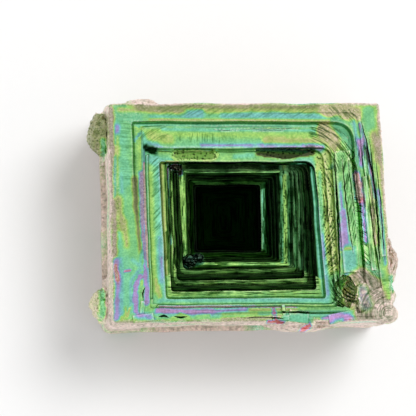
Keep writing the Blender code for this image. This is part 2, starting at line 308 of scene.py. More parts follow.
def cut_terraces(flat, depth):
    """Slides the wall's grid onto the terraces' borders, and returns how deep each point is cut in."""
    corners = outline_corners(RIM)
    cuts = np.zeros_like(depth)
    for face, terraces in enumerate(TERRACES.values()):
        first = face * (CORNER_POINTS + SIDE_POINTS) + CORNER_POINTS
        columns = np.arange(first, first + SIDE_POINTS)
        start, end = corners[face], corners[(face + 1) % 4]
        run = unit(end - start)
        along = (flat[columns] - start) @ run
        rows = depth[:, columns[0]].copy()
        frames = [(share * np.linalg.norm(end - start), *sizes) for share, *sizes in finer(terraces)]
        for place, middle, length, height, _ in frames:
            for sign in (-1, 1):
                slide_onto(along, place + sign * length / 2)
                slide_onto(rows, middle + sign * height / 2)
        flat[columns] = start + along[:, None] * run
        depth[:, columns] = rows[:, None]
        for place, middle, length, height, cut in frames:
            within = (abs(along - place) < length / 2)[None, :] & (abs(rows - middle) < height / 2)[:, None]
            cuts[:, columns] = np.where(within, cut, cuts[:, columns])
    return cuts


def wall_rings():
    """The rings of the outer wall, from the foot of the lowest course up to the rim."""
    flat = outline_points(RIM)
    depth = np.tile(np.linspace(COURSES[-1][1], COURSES[0][0], WALL_RINGS)[::-1, None], COLUMNS)
    cuts = cut_terraces(flat, depth)
    levels = [d for top, bottom, _ in COURSES for d in (top, bottom)]
    outsets = [at_stations(outset) for _, _, outset in COURSES for _ in range(2)]
    layers = [layer for layer in range(1, len(COURSES) + 1) for _ in range(2)]
    rings = []
    for row, cut in zip(depth[::-1], cuts[::-1]):
        stand = np.array([np.interp(d, levels, [o[i] for o in outsets]) for i, d in enumerate(row)])
        stand += wander(flat, float(np.interp(row.mean(), levels, layers)))
        stand = np.where(cut > 0, np.minimum(stand, -cut), stand)
        moved = flat + outward(flat) * stand[:, None]
        rings.append(np.column_stack([moved, HEIGHT - row]))
    return rings


# %% [markdown]
# ## From key rings to a fine mesh
# Between two key rings lie as many more as their distance asks for. The first and the last stop just
# short of the corner, so that every edge gets a narrow chamfer: real edges catch the light, and a
# perfectly sharp one can't.

# %% Build the crystal's body
CHAMFER = 0.06
WIDEST_CHAMFER = 0.25  # as a share of the strip, where two key rings nearly touch
LEVEL_SPACING = 0.22  # between rings on a level ledge, and on a drop
DROP_SPACING = 0.6
FLOOR_SHARES = np.linspace(0.1, 0.85, 5)  # where the floor's rings lie, from its border to its middle


def strip(start, end):
    """The rings from one key ring to the next, a chamfer's width in from both."""
    span = np.linalg.norm(end - start, axis=1, keepdims=True)
    level = np.linalg.norm((end - start)[:, :2], axis=1).mean()
    drop = abs(end - start)[:, 2].mean()
    count = max(2, round(float(level / LEVEL_SPACING + drop / DROP_SPACING)))
    inset = np.minimum(CHAMFER / np.maximum(span, TINY), WIDEST_CHAMFER)
    return [start + (end - start) * (inset + (1 - 2 * inset) * share) for share in np.linspace(0, 1, count)]


def body_rings():
    """Every ring of the crystal, from the base up the wall and down into the pit."""
    base = ring(RIM, HEIGHT, tuple(o - BASE_INSET for o in COURSES[-1][2]), len(COURSES))
    wall = wall_rings()
    rings = [base] + strip(base, wall[0]) + wall
    keys = key_rings()
    for start, end in zip(keys, keys[1:]):
        rings += strip(start, end)
    last = keys[-1]
    middle = last.mean(axis=0)
    rings += [last + (middle - last) * share for share in FLOOR_SHARES]
    return rings


def placed(name, data):
    """A new object in the scene that shows a mesh, a light or a camera."""
    made = bpy.data.objects.new(name, data)
    bpy.context.scene.collection.objects.link(made)
    return made


def object_from(name, points, faces):
    """A mesh object from points in millimetres, in the workbench's coordinates."""
    mesh = bpy.data.meshes.new(name)
    mesh.from_pydata(((np.asarray(points) - MIDDLE) * MM).tolist(), [], faces)
    return placed(name, mesh)


def lofted(name, rings):
    """One closed mesh through a list of rings, the first and last closed with a flat face."""
    grid = np.arange(len(rings) * COLUMNS).reshape(len(rings), COLUMNS)
    right = np.roll(grid, -1, axis=1)
    quads = np.stack([grid[:-1], grid[1:], right[1:], right[:-1]], axis=-1).reshape(-1, 4)
    faces = quads.tolist() + [grid[0].tolist(), grid[-1][::-1].tolist()]
    return object_from(name, np.concatenate(rings), faces)


rings = body_rings()
crystal = lofted("crystal", rings)
print("the body has", len(rings), "rings and", len(crystal.data.polygons), "faces")

# %% [markdown]
# ## Lumps, splinters and pockets
# Metal that clung to the crystal as it was lifted out froze as rounded lumps on its sides and as small
# nodules and crumbs on the ledges of the pit. They could be sculpted. Here each is a closed ball of its
# own, roughened by noise in a few sizes, and is then joined to the body or, as the cave, cut out of it.
# Blender's Manifold solver does that quickly on fine meshes, as long as every shape is closed.

# %% Rounded lumps
SPHERE_TURN = Matrix.Rotation(0.6, 3, (1.0, 2.0, 3.0))
ROUGH_OCTAVES = ((1.9, 1.0), (4.7, 0.45), (11.0, 0.18))  # noise scale on the unit ball, and its share
LUMP_SHARE = 0.96  # of the plain solid's lump, so that the roughness stays inside it


class Lump(NamedTuple):
    """A rough ellipsoid: its centre, its radii, how far it strays, and how finely it is drawn."""

    name: str
    centre: tuple
    radii: tuple
    roughness: float
    detail: int
    joins: bool = True


LUMPS = (
    Lump("knob_north_west", (-20.6, 12.9, 18.4), (2.6, 3.4, 4.8), 0.22, 5),
    Lump("knob_north_west_low", (-20.2, 14.6, 13.2), (2.1, 2.3, 3.9), 0.25, 4),
    Lump("knob_south_west", (-20.3, -12.9, 17.3), (2.4, 2.6, 4.3), 0.22, 5),
    Lump("knob_south_west_low", (-20.0, -13.9, 12.4), (1.9, 2.0, 2.9), 0.25, 4),
    Lump("bead_north", (-15.2, 16.8, 24.2), (2.6, 1.0, 1.7), 0.25, 4),
    Lump("bulge_east", (22.3, -6.6, 19.3), (1.7, 3.7, 5.6), 0.22, 5),
    Lump("bulge_south_east", (22.2, -11.4, 18.3), (1.6, 2.6, 4.4), 0.25, 4),
    Lump("crust_south_east", (19.4, -12.2, 23.35), (3.6, 3.4, 2.9), 0.20, 5),
    Lump("bead_south_east", (22.2, -14.5, 23.45), (1.5, 1.5, 2.2), 0.10, 5),
    Lump("drip_south", (8.6, -15.9, 21.0), (5.6, 1.2, 3.4), 0.22, 5),
    Lump("nodule_in_well", (-7.3, -6.1, 13.9), (1.2, 1.1, 1.3), 0.30, 4),
    Lump("nodule_in_well_low", (-5.9, -5.6, 13.2), (0.8, 0.8, 1.1), 0.30, 3),
    Lump("crumbs_in_well", (-9.7, 7.7, 20.0), (0.9, 0.7, 1.3), 0.35, 4),
    Lump("cave", (15.4, -11.2, 25.4), (1.8, 2.5, 3.0), 0.15, 5, joins=False),
)


def object_of(name, mesh):
    """A bmesh in workbench millimetres, made an object in metres."""
    for vertex in mesh.verts:
        vertex.co = (vertex.co - Vector(MIDDLE)) * MM
    data = bpy.data.meshes.new(name)
    mesh.to_mesh(data)
    mesh.free()
    return placed(name, data)


def lump_shape(lump):
    """A ball that is swollen here and there by noise, and then drawn out to its radii."""
    mesh = bmesh.new()
    bmesh.ops.create_icosphere(mesh, subdivisions=lump.detail, radius=LUMP_SHARE if lump.joins else 1.0)
    for vertex in mesh.verts:
        ball = SPHERE_TURN @ vertex.co
        swell = 1.0
        for scale, share in ROUGH_OCTAVES:
            swell += lump.roughness * share * noise.noise(ball * scale + Vector(lump.centre))
        vertex.co = Vector(c + r * b * swell for c, r, b in zip(lump.centre, lump.radii, ball))
    return object_of(lump.name, mesh)


print(len(LUMPS), "lumps are ready to be shaped")

# %% [markdown]
# Small flat crystals grew at odd angles on the rim, and long ones along its east side. A box with narrow
# bevels is enough for each. Its faces are then divided by planes, because colours are stored on vertices
# and can't change across a face that has none inside it.

# %% Flat crystals
EDGE_BEVEL = 0.07
SCORE_SPACING = 0.45  # between the planes that divide a face


class Blade(NamedTuple):
    """A small block: its centre, its size and its turn in degrees about X, Y and Z."""

    name: str
    centre: tuple
    size: tuple
    turn: tuple
    joins: bool = True


BLADES = (
    Blade("bar_east", (15.7, 0.9, 25.15), (2.4, 18.4, 1.3), (0, 0, 4.4)),
    Blade("ridge_east_inner", (19.0, -0.9, 25.55), (0.8, 14.2, 1.0), (0.6, 0, 6)),
    Blade("ridge_east_outer", (19.9, 2.2, 25.6), (0.7, 16.4, 1.0), (-0.5, 0, 9)),
    Blade("notch_north_west", (-14.0, 10.0, 24.0), (2.0, 0.8, 1.6), (0, 0, 25), joins=False),
    Blade("notch_south_west", (-13.4, -13.0, 24.2), (1.4, 1.2, 1.6), (0, 0, -38), joins=False),
    Blade("stud_south", (5.6, -15.2, 25.6), (2.6, 0.8, 1.3), (0, 6, 4)),
    Blade("splinter_south", (6.1, -14.1, 25.7), (0.5, 1.9, 1.0), (4, 0, 6)),
    Blade("plate_south", (8.4, -14.9, 25.3), (3.0, 1.8, 1.6), (3, -5, -7)),
    Blade("stub_south", (10.2, -15.9, 24.9), (1.1, 1.1, 2.0), (0, 10, 25)),
    Blade("facet_south_east", (15.0, -15.0, 25.2), (4.4, 1.5, 1.6), (0, 4, 12)),
    Blade("block_south_west", (-15.0, -15.2, 25.5), (3.2, 1.2, 1.5), (4, 0, 8)),
    Blade("splint_south_west", (-15.2, -14.0, 25.6), (0.7, 2.6, 1.2), (0, 3, -7)),
)


def score(mesh):
    """Divides a shape's large faces by planes across X and across Y."""
    for axis in (0, 1):
        places = [vertex.co[axis] for vertex in mesh.verts]
        normal = [float(axis == 0), float(axis == 1), 0.0]
        for place in np.arange(min(places) + SCORE_SPACING, max(places), SCORE_SPACING):
            everything = mesh.verts[:] + mesh.edges[:] + mesh.faces[:]
            point = [place * n for n in normal]
            bmesh.ops.bisect_plane(mesh, geom=everything, plane_co=point, plane_no=normal)


def blade_shape(blade):
    """A block with narrow bevels along its edges."""
    mesh = bmesh.new()
    bmesh.ops.create_cube(mesh, size=1.0)
    bmesh.ops.scale(mesh, vec=blade.size, verts=mesh.verts)
    bmesh.ops.bevel(mesh, geom=mesh.edges[:], offset=EDGE_BEVEL, segments=1, affect="EDGES")
    score(mesh)
    turn = Matrix.Identity(4)
    for degrees, axis in zip(blade.turn, "XYZ"):
        turn = Matrix.Rotation(math.radians(degrees), 4, axis) @ turn
    bmesh.ops.transform(mesh, matrix=Matrix.Translation(blade.centre) @ turn, verts=mesh.verts)
    return object_of(blade.name, mesh)


print(len(BLADES), "flat crystals and notches are ready to be shaped")

# %% [markdown]
# Pockets are holes with a ragged outline where a tread didn't close. Grooves are the dark lines between
# two crystals that grew side by side. Both are cutters: a pocket is a prism over its outline, and a
# groove is a V that follows a few points, strays a little and runs out at both ends.

# %% Pockets and grooves
class Pocket(NamedTuple):
    """A prism: its outline from above, and the depths of its top and bottom."""

    name: str
    outline: tuple
    top: float
    bottom: float


class Groove(NamedTuple):
    """A V-shaped cut: its line from above, the depth of the surface at both ends, its width and depth."""

    name: str
    line: tuple
    surface: tuple
    width: float
    depth: float


POCKETS = (
    Pocket(
        "pocket_north_west",
        ((-10.3, 9.95), (-4.6, 10.0), (-4.0, 9.75), (-3.85, 9.3), (-4.05, 8.95), (-4.6, 8.82),
         (-9.7, 8.85), (-10.2, 9.1)),
        1.5,
        3.7,
    ),
    Pocket(
        "pocket_north_east",
        ((2.0, 9.9), (2.7, 9.75), (5.1, 9.15), (6.2, 8.95), (7.4, 8.95), (8.9, 9.5), (10.6, 10.15),
         (10.4, 10.7), (2.2, 10.6)),
        1.9,
        3.6,
    ),
)
GROOVES = (
    Groove("crack_east", ((17.6, 15.4), (18.6, 11.7), (19.4, 7.0), (20.4, 1.9)), (0.0, 0.1), 0.2, 0.35),
    Groove("valley_east", ((14.6, 13.2), (16.9, 7.8), (17.8, 1.0), (18.3, -6.1)), (1.0, 0.5), 0.25, 0.3),
    Groove("foot_of_bar", ((13.9, 9.4), (14.4, 0.0), (14.7, -9.4)), (1.2, 1.2), 0.3, 0.4),
    Groove("furrow_east_1", ((16.6, 14.4), (17.5, 9.0), (18.3, 2.0), (18.5, -5.0)), (0.1, 0.3), 0.2, 0.3),
    Groove("furrow_east_2", ((19.0, 13.0), (19.6, 7.0), (20.3, 0.0), (20.6, -7.0)), (0.0, 0.3), 0.16, 0.25),
    Groove("furrow_east_3", ((19.9, 10.0), (20.8, 2.0), (21.2, -5.0)), (0.0, 0.1), 0.16, 0.22),
    Groove("furrow_on_bar", ((14.9, 9.0), (15.7, 1.0), (16.6, -5.5)), (0.2, 0.2), 0.22, 0.25),
    Groove("furrow_on_bar_outer", ((15.8, 9.0), (16.4, 4.0), (16.9, 0.0)), (0.2, 0.2), 0.2, 0.2),
    Groove("crack_north_1", ((-1.0, 13.3), (4.0, 13.35), (8.6, 13.5)), (1.25, 1.25), 0.12, 0.25),
    Groove("crack_north_2", ((1.5, 13.05), (4.5, 13.1), (6.5, 13.25)), (1.25, 1.25), 0.1, 0.2),
    Groove("crack_north_3", ((-4.4, 13.2), (-2.4, 13.1), (-0.4, 13.2)), (1.25, 1.25), 0.1, 0.2),
    Groove("crack_hook", ((-15.0, -12.6), (-15.1, -11.4), (-14.7, -10.6)), (0.0, 0.0), 0.25, 0.4),
    Groove("crack_south_1", ((-12.7, -15.1), (-11.9, -14.9), (-11.2, -15.2)), (0.0, 0.0), 0.4, 0.5),
    Groove("crack_south_2", ((-10.4, -15.0), (-9.4, -15.2), (-8.4, -15.0)), (0.0, 0.0), 0.35, 0.5),
    Groove("crack_south_3", ((-1.0, -15.2), (3.0, -15.1), (6.0, -15.3)), (0.0, 0.0), 0.18, 0.3),
    Groove("crack_south_4", ((3.0, -14.2), (7.0, -14.3), (13.0, -14.5)), (0.0, 0.0), 0.3, 0.5),
)
GROOVE_STEP = 0.5  # between the points along a groove
GROOVE_LIFT = 0.7  # how far a groove's cutter stands above the surface
GROOVE_STRAY = 0.12
GROOVE_WAVES = 0.9  # how quickly a groove wanders, in waves to a millimetre
GROOVE_TIP = 0.12  # radians of a half wave that are cut off each end, so that the tips have some width


def pocket_shape(pocket):
    """A prism over the pocket's outline."""
    count = len(pocket.outline)
    points = [(x, y, HEIGHT - depth) for depth in (pocket.bottom, pocket.top) for x, y in pocket.outline]
    sides = [(i, (i + 1) % count, (i + 1) % count + count, i + count) for i in range(count)]
    ends = [tuple(range(count))[::-1], tuple(range(count, 2 * count))]
    return object_from(pocket.name, points, sides + ends)


def groove_shape(groove):
    """A V that tapers to nothing at both ends, with its open side above the surface."""
    line = np.array(groove.line)
    lengths = np.concatenate([[0.0], np.cumsum(np.linalg.norm(np.diff(line, axis=0), axis=1))])
    count = max(5, int(lengths[-1] / GROOVE_STEP))
    where = np.linspace(0, lengths[-1], count)
    flat = np.column_stack([np.interp(where, lengths, line[:, axis]) for axis in (0, 1)])
    stray = noise_at(np.column_stack([flat, np.zeros(count)]), GROOVE_WAVES, len(groove.name))
    across = unit(np.gradient(flat, axis=0))[:, ::-1] * (1, -1)
    flat += across * (stray * GROOVE_STRAY)[:, None]
    taper = np.sin(np.linspace(GROOVE_TIP, math.pi - GROOVE_TIP, count)) ** 0.5
    surface = HEIGHT - np.interp(where, (0, lengths[-1]), groove.surface)
    half = groove.width / 2 * taper * (1 + GROOVE_LIFT / groove.depth)
    points = []
    for centre, side, reach, level, size in zip(flat, across, half, surface, taper):
        points.append((*(centre - side * reach), level + GROOVE_LIFT))
        points.append((*(centre + side * reach), level + GROOVE_LIFT))
        points.append((*centre, level - groove.depth * size))
    faces = [(0, 1, 2), (3 * count - 1, 3 * count - 2, 3 * count - 3)]
    for k in range(0, 3 * (count - 1), 3):
        faces += [(k + a, k + a + 3, k + b + 3, k + b) for a, b in ((0, 1), (1, 2), (2, 0))]
    return object_from(groove.name, points, faces)


print(len(POCKETS), "pockets and", len(GROOVES), "grooves are ready to be cut")

# %% [markdown]
# Everything is now joined or cut in one go: a Boolean modifier for each shape, first all that is added
# and then all that is taken away, so that no lump fills a pocket again.

# %% Join and cut
def facing_out(shape):
    """Turns a closed shape's faces outwards, which the solver needs."""
    mesh = bmesh.new()
    mesh.from_mesh(shape.data)
    bmesh.ops.recalc_face_normals(mesh, faces=mesh.faces)
    if mesh.calc_volume(signed=True) < 0:
        bmesh.ops.reverse_faces(mesh, faces=mesh.faces)
    mesh.to_mesh(shape.data)
    mesh.free()
    return shape


def work(target, shape, joins):
    """Joins a shape to the target, or cuts it out."""
    boolean = target.modifiers.new(shape.name, "BOOLEAN")
    boolean.operation = "UNION" if joins else "DIFFERENCE"
    boolean.solver = "MANIFOLD"
    boolean.object = facing_out(shape)
    return shape


def settle(target, helpers=()):
    """Makes what the target's modifiers give its plain mesh, and removes the helpers."""
    evaluated = target.evaluated_get(bpy.context.evaluated_depsgraph_get())
    mesh = bpy.data.meshes.new_from_object(evaluated)
    target.modifiers.clear()
    target.data = mesh
    for helper in helpers:
        bpy.data.objects.remove(helper)


facing_out(crystal)
shapes = []
for joins in (True, False):
    shapes += [work(crystal, lump_shape(lump), joins) for lump in LUMPS if lump.joins == joins]
    shapes += [work(crystal, blade_shape(blade), joins) for blade in BLADES if blade.joins == joins]
shapes += [work(crystal, pocket_shape(pocket), False) for pocket in POCKETS]
shapes += [work(crystal, groove_shape(groove), False) for groove in GROOVES]
settle(crystal, shapes)
print("with", len(shapes), "shapes it has", len(crystal.data.polygons), "faces")

# %% [markdown]
# ## Where a point lies on the crystal
# The colours follow the ledges, so each vertex needs to know on which side of the pit it is, on which
# tread, and how far across it. That could be painted by hand. Here it is worked out from the same
# outlines that made the shape, and what follows from it is later stored on the vertices as named
# attributes, which a material can read.

# %% Measure every vertex
FACES = ("north", "east", "south", "west")
NUDGE = 1e-9  # gives two vertices at the same place a direction between them


def inside(outline, flat):
    """How far each point lies inside each side of an outline, in the order of FACES."""
    corners = outline_corners(outline)
    distances = []
    for i in range(4):
        run = unit(corners[(i + 1) % 4] - corners[i])
        distances.append((flat - corners[i]) @ np.array([run[1], -run[0]]))
    return np.column_stack(distances)


def smooth(low, high, value):
    """0 at low, 1 at high, and a soft S between them."""
    t = np.clip((value - low) / (high - low), 0, 1)
    return t * t * (3 - 2 * t)


class Survey:
    """Where the vertices of a mesh lie, in workbench millimetres."""

    def __init__(self, mesh):
        count = len(mesh.vertices)
        self.points = np.empty(count * 3)
        mesh.vertices.foreach_get("co", self.points)
        self.points = self.points.reshape(-1, 3) / MM + MIDDLE
        self.normals = np.empty(count * 3)
        mesh.vertices.foreach_get("normal", self.normals)
        self.normals = self.normals.reshape(-1, 3)
        self.flat = self.points[:, :2]
        self.depth = HEIGHT - self.points[:, 2]
        self.rim = inside(RIM, self.flat)
        share = self.rim / (self.rim - inside(FLOOR, self.flat))
        self.side = np.argmin(share, axis=1)
        self.inward = share.min(axis=1)
        self.steep = 1 - abs(self.normals[:, 2])
        self.hollow = self.cavity(mesh)

    def cavity(self, mesh):
        """How hollow the surface is at each vertex: above 0 in a corner, below 0 on an edge."""
        ends = np.empty(len(mesh.edges) * 2, dtype=np.int64)
        mesh.edges.foreach_get("vertices", ends)
        a, b = ends.reshape(-1, 2).T
        along = unit(self.points[b] - self.points[a] + NUDGE)
        total = np.zeros(len(self.points))
        count = np.zeros(len(self.points))
        for here, sign in ((a, 1), (b, -1)):
            np.add.at(total, here, sign * (along * self.normals[here]).sum(axis=1))
            np.add.at(count, here, 1)
        return total / np.maximum(count, 1)


survey = Survey(crystal.data)
print("vertices on each side:", dict(zip(FACES, np.bincount(survey.side).tolist())))

# %% [markdown]
# ## The oxide film
# One number, the film's thickness from 0 to 1, gives the whole range of colours in their natural order:
# bare metal, salmon, magenta, violet, blue, teal, green, yellow-green, olive and bare again. Where the
# thickness changes smoothly, the colours between appear by themselves as fringes, as they do on metal.
# Each tread has a thickness at its outer and inner edge on each side, and the well has one for each side.

# %% The film on each tread
BARE = 0.0
ROSE = 0.06
SALMON = 0.13
MAGENTA = 0.21
VIOLET = 0.29
BLUE = 0.37
TEAL = 0.45
SEA_GREEN = 0.53
GREEN = 0.62
LIME = 0.72
OLIVE = 0.84
DRY = 0.93
TREAD_FILMS = (  # for each band: north, east, south and west, each from its outer to its inner edge
    ((0.80, 0.58), (0.74, 0.63), (0.80, 0.66), (0.50, 0.58)),
    ((0.60, 0.60), (0.70, 0.62), (0.62, 0.50), (0.58, 0.64)),
    ((0.62, 0.52), (0.66, 0.60), (0.60, 0.56), (0.62, 0.72)),
    ((0.72, 0.56), (0.64, 0.68), (0.62, 0.68), (0.60, 0.40)),
    ((0.62, 0.66), (0.74, 0.80), (0.70, 0.66), (0.60, 0.60)),
    ((0.64, 0.66), (0.74, 0.52), (0.64, 0.47), (0.72, 0.47)),
    ((0.60, 0.66), (0.56, 0.50), (0.60, 0.70), (0.84, 0.74)),
)
WELL_FILMS = (0.66, 0.60, 0.69, 0.71)


def tread_film(here):
    """The film's thickness on the lip and the treads, and in the well."""
    edges = [RIM] + [step.edge for step in TREADS] + [WELL_TOP]
    film = np.array(WELL_FILMS)[here.side]
    for outer, inner, sides in zip(edges, edges[1:], TREAD_FILMS):
        past = inside(outer, here.flat).min(axis=1)
        before = -inside(inner, here.flat).min(axis=1)
        share = np.clip(past / np.maximum(past + before, TINY), 0, 1)
        start, end = np.array(sides)[here.side].T
        film = np.where((past >= 0) & (before > 0), start + (end - start) * share, film)
    return film


print("the film is between", *np.round(np.percentile(tread_film(survey), (1, 99)), 2), "on nearly all of it")

# %% [markdown]
# ## Stains
# A real film isn't even. Heat, slag and touch leave patches of another thickness, worn spots where bare
# metal shows, and rough or pitted places. Many strokes also set a painted brightness: painted shade on
# risers, in holes and dark corners, and painted highlights on slopes and facets. They could be painted on
# an image, but here each is a stroke in millimetres, with a line, a width and a soft border, which stays
# sharp at any size and is easily moved. Later strokes lie over earlier ones.

# %% The stains
class Stain(NamedTuple):
    """A soft-edged stroke, and what it sets on the surface. None leaves a value as it was."""

    name: str
    line: tuple
    width: object
    film: float = None
    bare: float = None
    rough: float = None
    pits: float = None
    # painted light and shade: below 1 a painted shade, above 1 a painted highlight
    light: float = None
    soft: float = 0.6
    walls: bool = False


